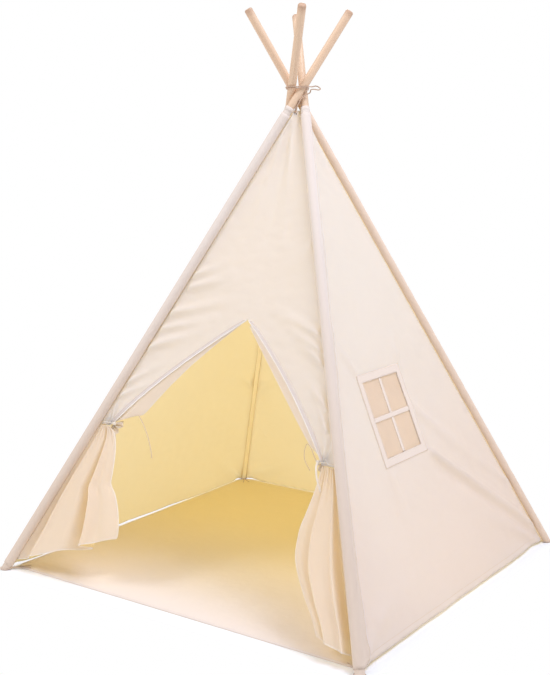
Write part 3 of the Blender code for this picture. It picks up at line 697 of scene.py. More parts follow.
# Folds of the walls: each runs from one spot to another, with a width and a height at its start
front_folds = [
    ((-0.004, 1.335), (-0.125, 1.020), 0.012, 0.0020),
    ((-0.001, 1.335), (-0.052, 0.960), 0.012, 0.0023),
    ((0.001, 1.335), (0.020, 0.960), 0.011, -0.0018),
    ((0.003, 1.335), (0.070, 0.980), 0.012, 0.0023),
    ((-0.205, 0.868), (-0.094, 0.914), 0.011, 0.0032),
    ((-0.196, 0.838), (-0.071, 0.876), 0.013, 0.0034),
    ((-0.242, 0.762), (-0.060, 0.812), 0.012, 0.0036),
    ((-0.268, 0.715), (-0.090, 0.762), 0.011, 0.0028),
    ((-0.290, 0.660), (-0.120, 0.727), 0.013, 0.0040),
    ((-0.330, 0.560), (-0.232, 0.625), 0.010, 0.0030),
    ((-0.345, 0.520), (-0.270, 0.560), 0.008, 0.0026),
    ((0.258, 0.752), (0.105, 0.800), 0.012, 0.0034),
    ((0.275, 0.712), (0.160, 0.760), 0.010, 0.0030),
    ((0.290, 0.680), (0.185, 0.735), 0.012, 0.0034),
    ((0.338, 0.575), (0.250, 0.640), 0.011, 0.0032),
    ((0.352, 0.520), (0.300, 0.590), 0.009, 0.0028),
    ((0.190, 1.000), (0.120, 0.930), 0.018, 0.0022),
]
right_folds = [
    ((0.080, 0.388), (0.560, 0.060), 0.012, 0.0040),
    ((0.562, 0.055), (0.080, 0.400), 0.015, 0.0036),
    ((0.555, 0.030), (0.110, 0.310), 0.026, -0.0028),
    ((0.100, 0.330), (0.500, 0.090), 0.026, -0.0016),
    ((0.560, 0.012), (0.180, 0.250), 0.019, 0.0046),
    ((0.550, 0.010), (0.200, 0.120), 0.024, -0.0026),
    ((0.066, 0.520), (0.300, 0.330), 0.018, 0.0036),
    ((0.500, 0.200), (0.200, 0.420), 0.016, 0.0030),
    ((-0.565, 0.018), (-0.430, 0.090), 0.016, 0.0045),
    ((-0.450, 0.080), (-0.220, 0.118), 0.026, 0.0030),
    ((-0.545, 0.050), (-0.440, 0.240), 0.020, 0.0035),
    ((-0.165, 0.370), (-0.160, 0.210), 0.020, 0.0030),
    ((-0.180, 0.640), (-0.240, 0.760), 0.016, 0.0030),
    ((0.066, 0.632), (0.120, 0.740), 0.018, 0.0030),
    ((0.010, 1.320), (0.090, 1.080), 0.024, 0.0030),
]
left_folds = [
    ((-0.560, 0.020), (-0.300, 0.140), 0.022, 0.0045),
    ((0.560, 0.020), (0.330, 0.160), 0.022, 0.0045),
    ((-0.380, 0.520), (-0.150, 0.560), 0.020, 0.0035),
    ((-0.340, 0.610), (-0.100, 0.700), 0.022, 0.0030),
    ((0.400, 0.420), (0.180, 0.520), 0.020, 0.0035),
    ((0.000, 1.320), (-0.070, 1.080), 0.022, 0.0030),
    ((0.200, 0.900), (0.040, 0.840), 0.024, 0.0025),
]
back_folds = [
    ((-0.560, 0.020), (-0.280, 0.150), 0.022, 0.0045),
    ((0.560, 0.020), (0.300, 0.120), 0.024, 0.0045),
    ((-0.420, 0.400), (-0.200, 0.520), 0.020, 0.0030),
    ((0.330, 0.600), (0.080, 0.660), 0.022, 0.0035),
    ((0.010, 1.320), (0.080, 1.060), 0.022, 0.0030),
    ((-0.200, 0.900), (-0.020, 0.800), 0.024, 0.0025),
]
fold_scale = 3.1
swell_height = 0.0026
ripple_height = 0.0013
ripple_size = 0.036
swell_size = 0.16
pucker_height = 0.0020
pucker_size = 0.030
pucker_reach = 0.030
hem_wave = 0.0030
hem_wave_size = 0.11
hem_wave_reach = 0.10
seam_calm = 0.016
gather_height = 0.0032
gather_start = 0.012
gather_reach = 0.060
gather_ribs = 13.0
gather_turn = 0.6
fold_start_share = 0.80
fold_widening = 0.55
fold_fade = 0.8
window_calm_edge = 0.035
window_calm_least = 0.15
window_calm_spot = (-0.052, 0.508)
window_calm_size = (0.122, 0.118)


def fold_height(side, height, folds):
    total = np.zeros(np.shape(height))
    for start, end, width, lift in folds:
        run_side, run_height = end[0] - start[0], end[1] - start[1]
        size = run_side ** 2 + run_height ** 2
        share = ((side - start[0]) * run_side + (height - start[1]) * run_height) / size
        share = np.clip(share, 0, 1)
        off_side = side - (start[0] + run_side * share)
        off_height = height - (start[1] + run_height * share)
        wide = width * (fold_start_share + fold_widening * share)
        fade = 1 - fold_fade * ease(share)
        total = total + fold_scale * lift * fade * np.exp(-(off_side ** 2 + off_height ** 2) / wide ** 2)
    return total


def gather_relief(sign, side, height, size):
    """Ripples that run out of a tie like the ribs of a fan and die away from it."""
    off_side = (side - sign * tie_side) * -sign
    off_height = height - tie_height
    angle = np.arctan2(off_height, off_side)
    reach = np.hypot(off_side, off_height)
    fade = np.exp(-((reach - gather_start) / gather_reach) ** 2) * ease(reach / gather_start)
    return size * np.sin(angle * gather_ribs + gather_turn) * fade


def window_calm(side, height):
    """1 away from the window and nearly 0 on its stiff band."""
    off_side = np.maximum(np.abs(side - window_calm_spot[0]) - window_calm_size[0], 0)
    off_height = np.maximum(np.abs(height - window_calm_spot[1]) - window_calm_size[1], 0)
    away = ease(np.hypot(off_side, off_height) / window_calm_edge)
    return window_calm_least + (1 - window_calm_least) * away


def wall_relief(axis, folds, seed, gathered=False, calm=None):
    """Gives the height of a wall's folds, swells, seam puckers and hem waves above its smooth shape."""
    def waves(flat, stretch, size, more):
        return uneven(flat * np.array(stretch), size, seed + more)

    def relief(flat, across, height):
        side = flat[..., axis]
        near = np.minimum(across, 1 - across) * base_side * (1 - height / apex_height)
        total = fold_height(side, height, folds)
        total = total + swell_height * waves(flat, (1.0, 1.0, 1.0), swell_size, 0)
        total = total + ripple_height * waves(flat, (1.0, 1.0, 1.6), ripple_size, 2)
        pucker = waves(flat, (0.25, 0.25, 1.0), pucker_size, 5)
        total = total + pucker_height * pucker * np.exp(-near / pucker_reach)
        wave = waves(flat, (1.0, 1.0, 0.2), hem_wave_size, 9)
        total = total + hem_wave * wave * np.exp(-height / hem_wave_reach)
        if gathered:
            for sign in (-1, 1):
                total = total + gather_relief(sign, side, height, gather_height)
        if calm:
            total = total * calm(side, height)
        return total * ease(near / seam_calm)
    return relief


# Walls
front = Wall(poles["front_left"], poles["front_right"], wall_relief(0, front_folds, 1.3, True))
right = Wall(poles["front_right"], poles["back_right"], wall_relief(1, right_folds, 2.9, calm=window_calm))
back = Wall(poles["back_right"], poles["back_left"], wall_relief(0, back_folds, 4.1))
left = Wall(poles["back_left"], poles["front_left"], wall_relief(1, left_folds, 6.7))
below = Wall(poles["front_left"], poles["front_right"], reach=flap_seam_reach)

left_hem_front = 0.005
hem_seam_height = 0.026


def finish_wall(name, wall, rows, body, gaps=(), shares=None, cover=outer):
    """Makes the sheet of a wall, which is stretched between the sleeves of its two poles."""
    piece = cloth_sheet(f"cloth_{name}_wall", rows, wall.grain, (cover, inner_painted_glow), gaps=gaps, shares=shares)
    settle(piece, body, f"{name}_wall")
    declare_sheet(rows, "stretched", gaps)


def make_plain_wall(name, wall, body, lows):
    """A wall whose hem has three heights: at its left corner, in its middle and at its right one."""
    across, rise = np.meshgrid(spread(0, 1, 130), spread(0, 1, 170))
    low = np.interp(across, (0.0, 0.6, 1.0), lows)
    rows = wall.place(across, low + (wall_top - low) * rise)
    finish_wall(name, wall, rows, body, shares=across if body == "both" else None)


def make_front_wall():
    below_apex = spread(tie_height, door_apex_height, 70)
    heights = np.concatenate([below_apex, spread(door_apex_height, wall_top, 90)[1:]])
    half_columns = 60
    rows = []
    for height in heights:
        edges = [front.share_of(front_x(sign, height), height) for sign in (-1, 1)]
        if height > door_apex_height:
            edges = [front.share_of(door_apex_side, door_apex_height)] * 2
        across = np.concatenate([spread(0, edges[0], half_columns), spread(edges[1], 1, half_columns)])
        rows.append(front.place(across, np.full(len(across), height)))
    gaps = {(row, half_columns) for row in range(len(heights))}
    finish_wall("front", front, rows, "front_frame", gaps)


make_front_wall()
make_plain_wall("back", back, "back_frame", [back_hem_height] * 3)
make_plain_wall("left", left, "both", (back_hem_height, hem_height, left_hem_front))


# The seams inside the back corners, and the walls' cloth round the front poles
corner_reach = seam_reach + 0.0004
corner_angle = math.radians(28)
corner_crease = 0.0009
corner_low = 0.0128
corner_top = wall_top - 0.012
wrap_low = 0.016
wrap_reach = 0.027
wrap_share = 0.16
wrap_top_angle = math.radians(66)
wrap_end_angle = math.radians(284)
wrap_seam_inset = 0.004
wrap_lift = 0.0011
wrap_cloth = 0.0008
wrap_clearance = 0.0012
wrap_step = 0.0004
wrap_sag = 0.0016
wrap_sag_size = 0.05


def make_corner_seam(corner):
    """The seam of two walls inside a back corner, in front of the sleeve, in cotton with a painted glow."""
    pole = poles[corner]
    angles = spread(-corner_angle, corner_angle, 8)
    reach = corner_reach - corner_crease * np.exp(-(angles / 0.12) ** 2)
    ring = pole.ways(angles) * reach[:, None]
    rows = [np.array(pole.at(height)) + ring for height in spread(corner_low, corner_top, 120)]
    piece = cloth_sheet(f"corner_seam_{corner}", rows, (pole.side, pole.up), (seam_painted_glow_cloth,), thickness=0.0)
    settle(piece, pole.body)


def make_wrap(wall, corner, from_left):
    """The wall's cloth drawn round a pole: it leaves the sleeve smoothly and is sewn down beside it."""
    pole = poles[corner]
    up = np.array(pole.up)
    side_way = wall.along if from_left else -wall.along
    side_way = side_way - up * (side_way @ up)
    side_way /= np.linalg.norm(side_way)
    outward = np.cross(up, side_way)
    if outward @ wall.out < 0:
        outward = -outward
    angles = np.linspace(wrap_end_angle, wrap_top_angle, 18)
    reaches = sleeve_rest + wrap_clearance + wrap_step * ease((wrap_end_angle - angles) / 0.5)
    ring = (np.outer(np.cos(angles), side_way) + np.outer(np.sin(angles), outward)) * reaches[:, None]
    parts = spread(0, 1, 10)[1:, None]
    rows, seam = [], []
    for height in spread(wrap_low, corner_top, 190):
        wide = np.linalg.norm(wall.flat(1.0, height) - wall.flat(0.0, height))
        reach = min(wrap_reach, wide * wrap_share)
        shares = np.array((reach, max(reach - wrap_seam_inset, reach * 0.7))) / wide
        end_share, seam_share = shares if from_left else 1 - shares
        on_pole = np.array(pole.at(height)) + ring
        end = wall.place(end_share, height, wrap_lift)
        sag = wrap_sag * uneven((height, 0.0, 0.0), wrap_sag_size, 3.0 + pole.sign.x) - wrap_clearance
        bridge = on_pole[-1] + (end - on_pole[-1]) * parts + outward * sag * np.sin(math.pi * parts)
        rows.append(np.concatenate([on_pole, bridge]))
        seam.append(wall.place(seam_share, height, wrap_lift + on_cloth))
    rows = np.array(rows)
    if from_left:
        rows = rows[:, ::-1]
    piece = cloth_sheet(f"wrap_{corner}", rows, wall.grain, (sleeve_cloth,), thickness=wrap_cloth)
    settle(piece, pole.body)
    settle(stitch_mesh(f"wrap_{corner}_stitches", [(seam, wall.out)]), pole.body)


make_corner_seam("back_left")
make_corner_seam("back_right")
make_wrap(right, "front_right", True)
make_wrap(left, "front_left", False)


# Window in the right wall
window_width = 0.205
window_height = 0.218
window_low = 0.410
window_side = -0.052
window_band = 0.024
window_seam_inset = 0.003
mullion_width = 0.014
trim = 0.0010
pane_lap = 0.010
window_rise = right.slope[2]
window_high = window_low + window_height * window_rise
window_left = window_side - window_width / 2
window_right = window_side + window_width / 2
window_cells = 30
band_cells = 6


def open_cells(first_row, first_column, rows, columns):
    return {(first_row + row, first_column + column) for row, column in np.ndindex(rows, columns)}


def make_right_wall():
    columns, middle_columns, middle_rows = 52, 28, 28
    low_rows = spread(hem_height, window_low, 56)
    mid_rows = spread(window_low, window_high, middle_rows)[1:]
    heights = np.concatenate([low_rows, mid_rows, spread(window_high, wall_top, 92)[1:]])
    rows, shares = [], []
    for height in heights:
        level = min(max(height, window_low), window_high)
        start, end = [right.share_of(side, level) for side in (window_left, window_right)]
        across = np.concatenate([
            spread(0, start, columns), spread(start, end, middle_columns)[1:], spread(end, 1, columns)[1:]
        ])
        rows.append(right.place(across, np.full(len(across), height)))
        shares.append(1 - across)
    gaps = open_cells(len(low_rows) - 1, columns, middle_rows, middle_columns)
    # The right wall takes the cooler copy of the cotton, with its painted light and painted shade
    finish_wall("right", right, rows, "both", gaps, shares, outer_side_painted_light)


def window_piece(name, sides, heights, lift, finish, gaps=()):
    side, height = np.meshgrid(sides, heights)
    rows = right.at(side, height, lift)
    shares = 1 - right.share_of(side, height)
    piece = cloth_sheet(f"cloth_{name}", rows, right.grain, (finish,), trim, gaps, shares)
    settle(piece, "both", name)
    return piece, rows


def with_band(low, high, band):
    """Steps across the window and across its band on both sides."""
    return np.concatenate([
        spread(low - band, low, band_cells)[:-1], spread(low, high, window_cells),
        spread(high, high + band, band_cells)[1:],
    ])


def make_window():
    lift = on_cloth + cloth_gap + trim / 2
    bar_lift = trim / 2 - on_cloth
    lap_rise, bar_rise = pane_lap * window_rise, mullion_width * window_rise
    middle = (window_low + window_high) / 2
    band_gaps = open_cells(band_cells, band_cells, window_cells, window_cells)
    window_piece(
        "window_frame", with_band(window_left, window_right, window_band),
        with_band(window_low, window_high, window_band * window_rise), lift, band_cloth,
        band_gaps,
    )
    pane, rows = window_piece(
        "window_pane", spread(window_left - pane_lap, window_right + pane_lap, window_cells),
        spread(window_low - lap_rise, window_high + lap_rise, window_cells), -lift, pane_cloth,
    )
    declare_sheet(rows, "stretched")
    window_piece(
        "window_mullion_upright", spread(window_side - mullion_width / 2, window_side + mullion_width / 2, 5),
        spread(window_low + cloth_gap, window_high - cloth_gap, 40), bar_lift, band_cloth,
    )
    window_piece(
        "window_mullion_level", spread(window_left + cloth_gap, window_right - cloth_gap, 40),
        spread(middle - bar_rise / 2, middle + bar_rise / 2, 5), bar_lift + trim + cloth_gap, band_cloth,
    )


def make_window_stitches():
    lift = on_cloth + cloth_gap + trim + stitch_height
    seams, shares = [], []
    for off in (window_seam_inset, window_band - window_seam_inset):
        left_side, right_side = window_left - off, window_right + off
        low_side, high_side = window_low - off * window_rise, window_high + off * window_rise
        sides = spread(left_side, right_side, 40)
        heights = spread(low_side, high_side, 40)
        runs = [(sides, low_side), (sides, high_side), (left_side, heights), (right_side, heights)]
        for side, height in runs:
            side, height = np.broadcast_arrays(side, height)
            seams.append((right.at(side, height, lift), right.out))
            shares.append(1 - right.share_of(side, height))
    settle(stitch_mesh("window_stitches", seams, shares), "both")


make_right_wall()
make_window()
make_window_stitches()


def make_hem_stitches(name, wall, body, across, shares=None):
    line = wall.place(across, np.full(len(across), hem_seam_height), on_cloth)
    settle(stitch_mesh(f"{name}_wall_hem_stitches", [(line, wall.out)], shares), body)


seam_run = spread(0.03, 0.97, 120)
make_hem_stitches("right", right, "both", seam_run, [1 - seam_run])
make_hem_stitches("left", left, "both", seam_run, [seam_run])
make_hem_stitches("back", back, "back_frame", seam_run)


# Door facings, hems and the ruffles at their ties
facing_lap = 0.008
facing_curl = 0.010
facing_low = 0.448
facing_top_share = 0.955
left_facing_width = 0.072
right_facing_width = 0.034
facing_rise = 0.030
facing_gather = 0.0040
facing_lift = 0.0016
facing_rim_radius = 0.0011
hem_width = 0.015
hem_ends = (tie_height + 0.010, door_apex_height - 0.003)
hem_profile = ((1.0, 0.0006), (0.96, 0.0017), (0.72, 0.0019), (0.40, 0.0026), (0.12, 0.0024), (-0.02, 0.0012))
hem_seam_share = 0.84
hem_seam_lift = 0.0024
hem_under = 0.0004
door_rim_radius = 0.0019
door_rim_lift = 0.0006
ruffle_cloth = 0.0008
ruffle_inner = 0.005
ruffle_back = 0.0060
ruffle_lean = 0.20
ruffle_pleat = 0.0058
ruffle_crimp = 0.0016
hem_swell = 0.25
hem_swell_size = 0.022


def left_facing_depth(share):
    return left_facing_width * max(0.0, 1 - share / 0.96) ** 1.15


def right_facing_depth(share):
    return right_facing_width * max(0.0, math.sin(math.pi * share)) ** 0.6


def facing_point(sign, depth_at, height, across):
    """A point of a facing: across runs from its seam inside the wall to its free edge."""
    across = np.asarray(across, float)
    reach = facing_lap + depth_at(door_share(height))
    low_share = np.clip((height - facing_low) / 0.05, 0, 1)
    heights = height + facing_rise * across ** 1.5 * (1 - low_share) ** 2 * reach / left_facing_width
    reaches = reach * (1 - 0.04 * across * (1 - low_share) ** 2)
    sides = front_x(sign, height) + sign * facing_lap - sign * reaches * across
    lift = -facing_lift - cloth_gap - facing_curl * reach / left_facing_width * across ** 2
    lift = lift - np.abs(gather_relief(sign, sides, heights, facing_gather)) * ease(across / 0.2)
    return front.at(sides, heights, lift)


def make_facing(side, sign, depth_at):
    high = tie_height + (door_apex_height - tie_height) * facing_top_share
    across = spread(0, 1, 34)
    rows = np.array([facing_point(sign, depth_at, height, across) for height in spread(facing_low, high, 70)])
    piece = cloth_sheet(f"cloth_facing_{side}", rows, front.grain, (flap_cloth,))
    settle(piece, "front_frame", f"door_facing_{side}")
    rim = tube_mesh(f"facing_edge_{side}", rows[::2, -1], facing_rim_radius, rim_cloth)
    settle(rim, "front_frame")


def make_ruffle(side, sign, angles, reach):
    """The fan of small pleats where the tie draws the facing together."""
    turns = np.radians(spread(*angles, 90))
    rows = []
    for radius in spread(ruffle_inner, reach, 12):
        share = radius / reach
        edge = radius * (1 + 0.16 * np.sin(turns * 5.3 + 1.0) * share)
        sides = sign * tie_side - sign * np.cos(turns) * edge
        heights = tie_height + tie_rise + np.sin(turns) * edge
        pleats = ruffle_pleat * np.sin(turns * 12.0) + ruffle_crimp * np.sin(turns * 29.0)
        lift = share * pleats - ruffle_back - ruffle_lean * radius
        rows.append(front.at(sides, heights, lift))
    piece = cloth_sheet(f"tie_ruffle_{side}", rows, front.grain, (flap_cloth,), ruffle_cloth)
    settle(piece, "front_frame")


def make_hem(side, sign):
    """The folded hem along one edge of the door, sewn down on its far side."""
    rows, seam, rim_line = [], [], []
    for height in spread(*hem_ends, 110):
        share = door_share(height)
        edge = front_x(sign, height)
        wide = hem_width * (0.55 + 0.45 * ease((share - 0.02) / 0.2)) * (1 - 0.35 * ease((share - 0.9) / 0.1))
        swell = 1 + hem_swell * uneven((height, 0.0, 0.0), hem_swell_size, 4.0 + sign)
        row = [front.at(edge + sign * wide * off, height, lift * swell) for off, lift in hem_profile]
        row.append(front.at(edge - sign * hem_under, height, -hem_under))
        rows.append(row[::-1] if sign > 0 else row)
        seam.append(front.at(edge + sign * wide * hem_seam_share, height, hem_seam_lift))
        rim_line.append(front.at(edge, height, door_rim_lift))
    hem = cloth_sheet(f"door_hem_{side}", rows, front.grain, (hem_cloth,), 0.0)
    settle(hem, "front_frame")
    settle(stitch_mesh(f"door_hem_{side}_stitches", [(seam, front.out)]), "front_frame")
    # The rim is painted lighter, a painted highlight along the edge of the door
    rim = tube_mesh(f"door_rim_{side}", rim_line, door_rim_radius, door_rim_painted_highlight)
    settle(rim, "front_frame")


make_facing("left", -1, left_facing_depth)
make_facing("right", 1, right_facing_depth)
make_hem("left", -1)
make_hem("right", 1)
make_ruffle("left", -1, (24, -100), 0.032)
make_ruffle("right", 1, (-15, -100), 0.020)


# The loose ends of the two door ties
tail_diameter = 0.0020
tail_spacing = 0.003
tail_start = np.array((0.0, -0.001, 0.001))
tape_width = 0.0052
tape_flat = (1.0, 0.28)
thread_diameter = 0.0016
left_tail_route = [
    (0.0, 0.0, 0.0),
    (0.008, -0.001, -0.006),
    (0.024, -0.004, -0.022),
    (0.044, -0.008, -0.052),
    (0.060, -0.012, -0.088),
    (0.068, -0.015, -0.118),
]
right_tail_route = [
    (0.001, -0.0050, -0.0020),
    (0.004, -0.0150, -0.0080),
    (0.009, -0.0230, -0.0200),
    (0.015, -0.0280, -0.0370),
    (0.023, -0.0305, -0.0540),
    (0.030, -0.0320, -0.0690),
]
right_thread_route = [
    (-0.003, -0.0045, 0.0020),
    (-0.010, -0.0070, 0.0200),
    (-0.020, -0.0090, 0.0400),
    (-0.030, -0.0090, 0.0440),
    (-0.037, -0.0090, 0.0200),
    (-0.034, -0.0090, -0.0010),
    (-0.019, -0.0080, -0.0250),
]


def make_tail(name, body, start, route, diameter, finish, stiffness, replaced=None, **shape):
    line = smooth_line([start + np.array(point) for point in route], tail_spacing)
    piece = tube_mesh(name, line, diameter / 2, finish, **shape)
    settle(piece, body, replaced)


def make_tails():
    """A string at the lower corner of the left facing, and a tape and a thin thread at the right knot."""
    corner = facing_point(-1, left_facing_depth, facing_low, 1.0) + tail_start
    low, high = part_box("door_tie_right_knot")
    knot = np.array((low + high) / 2)
    make_tail(
        "tie_string_left", "front_frame", corner, left_tail_route, tail_diameter, string_cloth, "limp",
        "door_tie_left_tail", sides=10,
    )
    make_tail(
        "tie_tape_right", "flap_right", knot, right_tail_route, tape_width, tie_cloth, "limp",
        "door_tie_right_tail", sides=12, flat=tape_flat,
    )
    make_tail(
        "tie_thread_right", "flap_right", knot, right_thread_route, thread_diameter, string_cloth, "medium"
    )


make_tails()


# Door flaps
flap_hem_outer = 0.032
flap_hem_inner = {"left": 0.153, "right": 0.055}
flap_top = tie_height - 0.002
flap_rim_radius = 0.0014
fold_start = 0.16
flap_gather = 0.0022
flap_gathers = 6.5
flap_soft = 0.0020
flap_soft_size = 0.07


def curve_of(spots):
    """A smooth line through a few (position, value) spots, as arrays to look values up in."""
    line = smooth_line([(*spot, 0.0) for spot in spots], 0.01)
    return line[:, 0], line[:, 1]


# How far the loose edge hangs from the middle of the door, from the tie down to the hem
left_edge = curve_of([
    (0.0, 0.361), (0.06, 0.338), (0.20, 0.320), (0.42, 0.309), (0.53, 0.305), (0.62, 0.281), (0.76, 0.256),
    (0.90, 0.239), (1.0, 0.233),
])
right_edge = curve_of([
    (0.0, 0.361), (0.14, 0.356), (0.30, 0.343), (0.43, 0.333), (0.60, 0.340), (0.78, 0.384), (0.90, 0.424),
    (1.0, 0.448),
])
# The pleats: where each point of the cloth lies between the sleeve and the edge, and how far out
left_pleats = [
    (0.00, 0.000), (0.05, -0.010), (0.09, -0.012), (0.125, 0.004), (0.15, 0.009), (0.22, 0.004),
    (0.36, 0.008), (0.43, 0.009), (0.48, 0.003), (0.53, -0.016), (0.58, -0.040), (0.625, -0.052),
    (0.660, -0.042), (0.652, -0.012), (0.645, 0.010), (0.662, 0.020), (0.70, 0.018), (0.78, 0.008),
    (0.86, 0.010), (0.94, 0.006), (1.0, -0.004),
]
right_pleats = [
    (0.00, 0.000), (0.05, -0.016), (0.13, -0.024), (0.18, -0.008), (0.205, 0.012), (0.24, 0.016),
    (0.30, 0.009), (0.40, 0.008), (0.52, 0.014), (0.62, 0.018), (0.665, 0.010), (0.660, -0.008),
    (0.675, -0.022), (0.76, -0.020), (0.88, -0.014), (1.0, -0.022),
]


def pleat_line(pleats, count):
    line = smooth_line([(*pleat, 0.0) for pleat in pleats], 0.002)
    picks = spread(0, len(line) - 1, count)
    return on_line(line, np.arange(len(line)), picks)[:, :2].T


def flap_row(sign, edge, pleats, hem_inner, down):
    """One row of a gathered flap, from the sleeve to the loose edge; down runs from the tie to the hem."""
    where, lift = pleats
    outer_z = flap_top + (flap_hem_outer - flap_top) * down
    inner_z = flap_top + (hem_inner - flap_top) * down
    opening = fold_start + (1 - fold_start) * ease(down / 0.75)
    straight = np.linspace(0, 1, len(where))
    pleated = ease(down / 0.3 + 0.25)
    across_cloth = where * pleated + straight * (1 - pleated)
    height = outer_z + (inner_z - outer_z) * across_cloth
    near = below.share_of(sign * np.interp(down, *edge), inner_z)
    start = 0.0 if sign < 0 else 1.0
    across = start + (near - start) * across_cloth
    gathers = flap_gather * np.sin(2 * math.pi * flap_gathers * straight) * (1 - ease(down / 0.28))
    soft = flap_soft * uneven(below.flat(across, height), flap_soft_size, 8.2 + sign)
    lift = lift * opening + gathers * ease(straight / 0.08) + soft * ease(straight / 0.1)
    return below.place(across, height, lift)


def make_flap(side, sign, edge, pleats):
    pleats = pleat_line(pleats, 150)
    hem_inner = flap_hem_inner[side]
    rows = np.array([flap_row(sign, edge, pleats, hem_inner, down) for down in spread(1, 0, 110)])
    outline = np.concatenate([rows[1:-3, -1][::-1], rows[0, ::-1]])
    if sign > 0:
        rows = rows[:, ::-1]
    piece = cloth_sheet(f"cloth_flap_{side}", rows, below.grain, (flap_cloth, inner_painted_glow))
    settle(piece, f"flap_{side}", f"door_flap_{side}")
    declare_sheet(rows, "gathered")
    rim = tube_mesh(f"flap_hem_{side}", smooth_line(outline[::4], 0.004), flap_rim_radius, rim_cloth)
    settle(rim, f"flap_{side}")


make_flap("left", -1, left_edge, left_pleats)
make_flap("right", 1, right_edge, right_pleats)


# Door ties and knots
tie_diameter = 0.0030
tie_knot_diameter = 0.0038
tie_knot_radius = 0.0028
tie_knot_swell = 0.0012
tie_knot_rise = 0.0064


def coil(centre, first, second, radii, rise, turns):
    """A small coil round a centre, turning from the first way to the second and rising."""
    shares = np.linspace(0, 1, len(radii))[:, None]
    angles = 2 * math.pi * turns * shares
    ring = (np.asarray(first) * np.cos(angles) + np.asarray(second) * np.sin(angles)) * radii[:, None]
    return np.asarray(centre) + ring + (shares - 0.5) * rise * np.array((0.0, 0.0, 1.0))


def make_door_tie(side, sign):
    height = tie_height + tie_rise
    lift = on_cloth + cloth_gap + tie_diameter / 2
    start = 0.0 if sign < 0 else 1.0
    near = front.share_of(front_x(sign, height), height)
    shares = spread(start + (near - start) * 0.06, near, 8)
    angles = spread(0, math.pi, 12)[1:-1, None]
    bend = front.along * -sign * np.sin(angles) + front.out * np.cos(angles)
    line = np.concatenate([
        front.place(shares, height, lift), front.place(near, height) + bend * lift,
        front.place(shares[::-1], height, -lift),
    ])
    piece = tube_mesh(f"tie_band_{side}", line, tie_diameter / 2, tie_cloth, 10)
    settle(piece, "front_frame", f"door_tie_{side}")


def make_knot(side):
    low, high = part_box(f"door_tie_{side}_knot")
    radii = tie_knot_radius + tie_knot_swell * np.sin(math.pi * np.linspace(0, 1, 60))
    turns = coil((low + high) / 2, (1, 0, 0), (0, 1, 0), radii, tie_knot_rise, 3)
    piece = tube_mesh(f"tie_knot_{side}", turns, tie_knot_diameter / 2, tie_cloth, 10)
    settle(piece, f"flap_{side}", f"door_tie_{side}_knot")


for side, sign in (("left", -1), ("right", 1)):
    make_door_tie(side, sign)
    make_knot(side)


# Floor mat
mat_half = base_side / 2 - 0.030
mat_thickness = 0.0025
mat_back_more = 0.034
mat_left_front = 0.024
mat_left_back = 0.033
mat_corner = 0.024
mat_corner_share = 0.4
mat_edge_radius = 0.00125
mat_ripple = 0.004
mat_stitch_lift = 0.0004
mat_tie_radius = 0.0012
mat_tie_end = 0.055
mat_tie_bend = 0.009


def mat_fullness(side):
    """1 along an edge of the mat and less at its corners, which are drawn in to the poles."""
    return mat_corner_share + (1 - mat_corner_share) * ease((mat_half - np.abs(side)) / mat_corner)


def mat_share(points):
    return 0.5 - points[..., 1] / (2 * mat_half)


def mat_edge_share(points):
    return np.clip(mat_share(points), 0, 1)


def make_mat():
    plain_x, plain_y = np.meshgrid(*[spread(-mat_half, mat_half, 150)] * 2)
    left_more = mat_left_front + (mat_left_back - mat_left_front) * ease(plain_y / mat_half)
    left_more = left_more * mat_fullness(plain_y)
    back_more = mat_back_more * mat_fullness(plain_x)
    rows = np.zeros((*plain_x.shape, 3))
    rows[..., 0] = plain_x + np.where(plain_x < 0, left_more * plain_x / mat_half, 0.0)
    rows[..., 1] = plain_y + np.where(plain_y > 0, back_more * plain_y / mat_half, 0.0)
    edge_near = mat_half - np.maximum(np.abs(plain_x), np.abs(plain_y))
    ripple = np.clip(uneven(rows, 0.09, 3.3), 0, 1) * ease(edge_near / 0.05)
    rows[..., 2] = mat_thickness / 2 + mat_ripple * ripple
    grain = ((1, 0, 0), (0, 1, 0))
    piece = cloth_sheet("cloth_floor_mat", rows, grain, (mat_cloth,), mat_thickness, shares=mat_share(rows))
    settle(piece, "both", "floor_mat")
    declare_sheet(rows, "laid")
    return rows


def make_mat_hem(rows):
    """The rolled edge of the mat and the row of stitches beside it."""
    outline = np.concatenate([rows[0, :-1], rows[:-1, -1], rows[-1, :0:-1], rows[:0:-1, 0]])
    outline = np.concatenate([outline[::2], outline[:1]])
    rim = tube_mesh("mat_edge", outline, mat_edge_radius, mat_edge_cloth, shares=mat_edge_share)
    settle(rim, "both")
    lift = np.array((0.0, 0.0, mat_thickness / 2 + mat_stitch_lift))
    lines = [rows[1, 2:-2], rows[-2, 2:-2], rows[2:-2, 1], rows[2:-2, -2]]
    seams = [(line + lift, (0.0, 0.0, 1.0)) for line in lines]
    settle(stitch_mesh("mat_stitches", seams, mat_edge_share), "both")


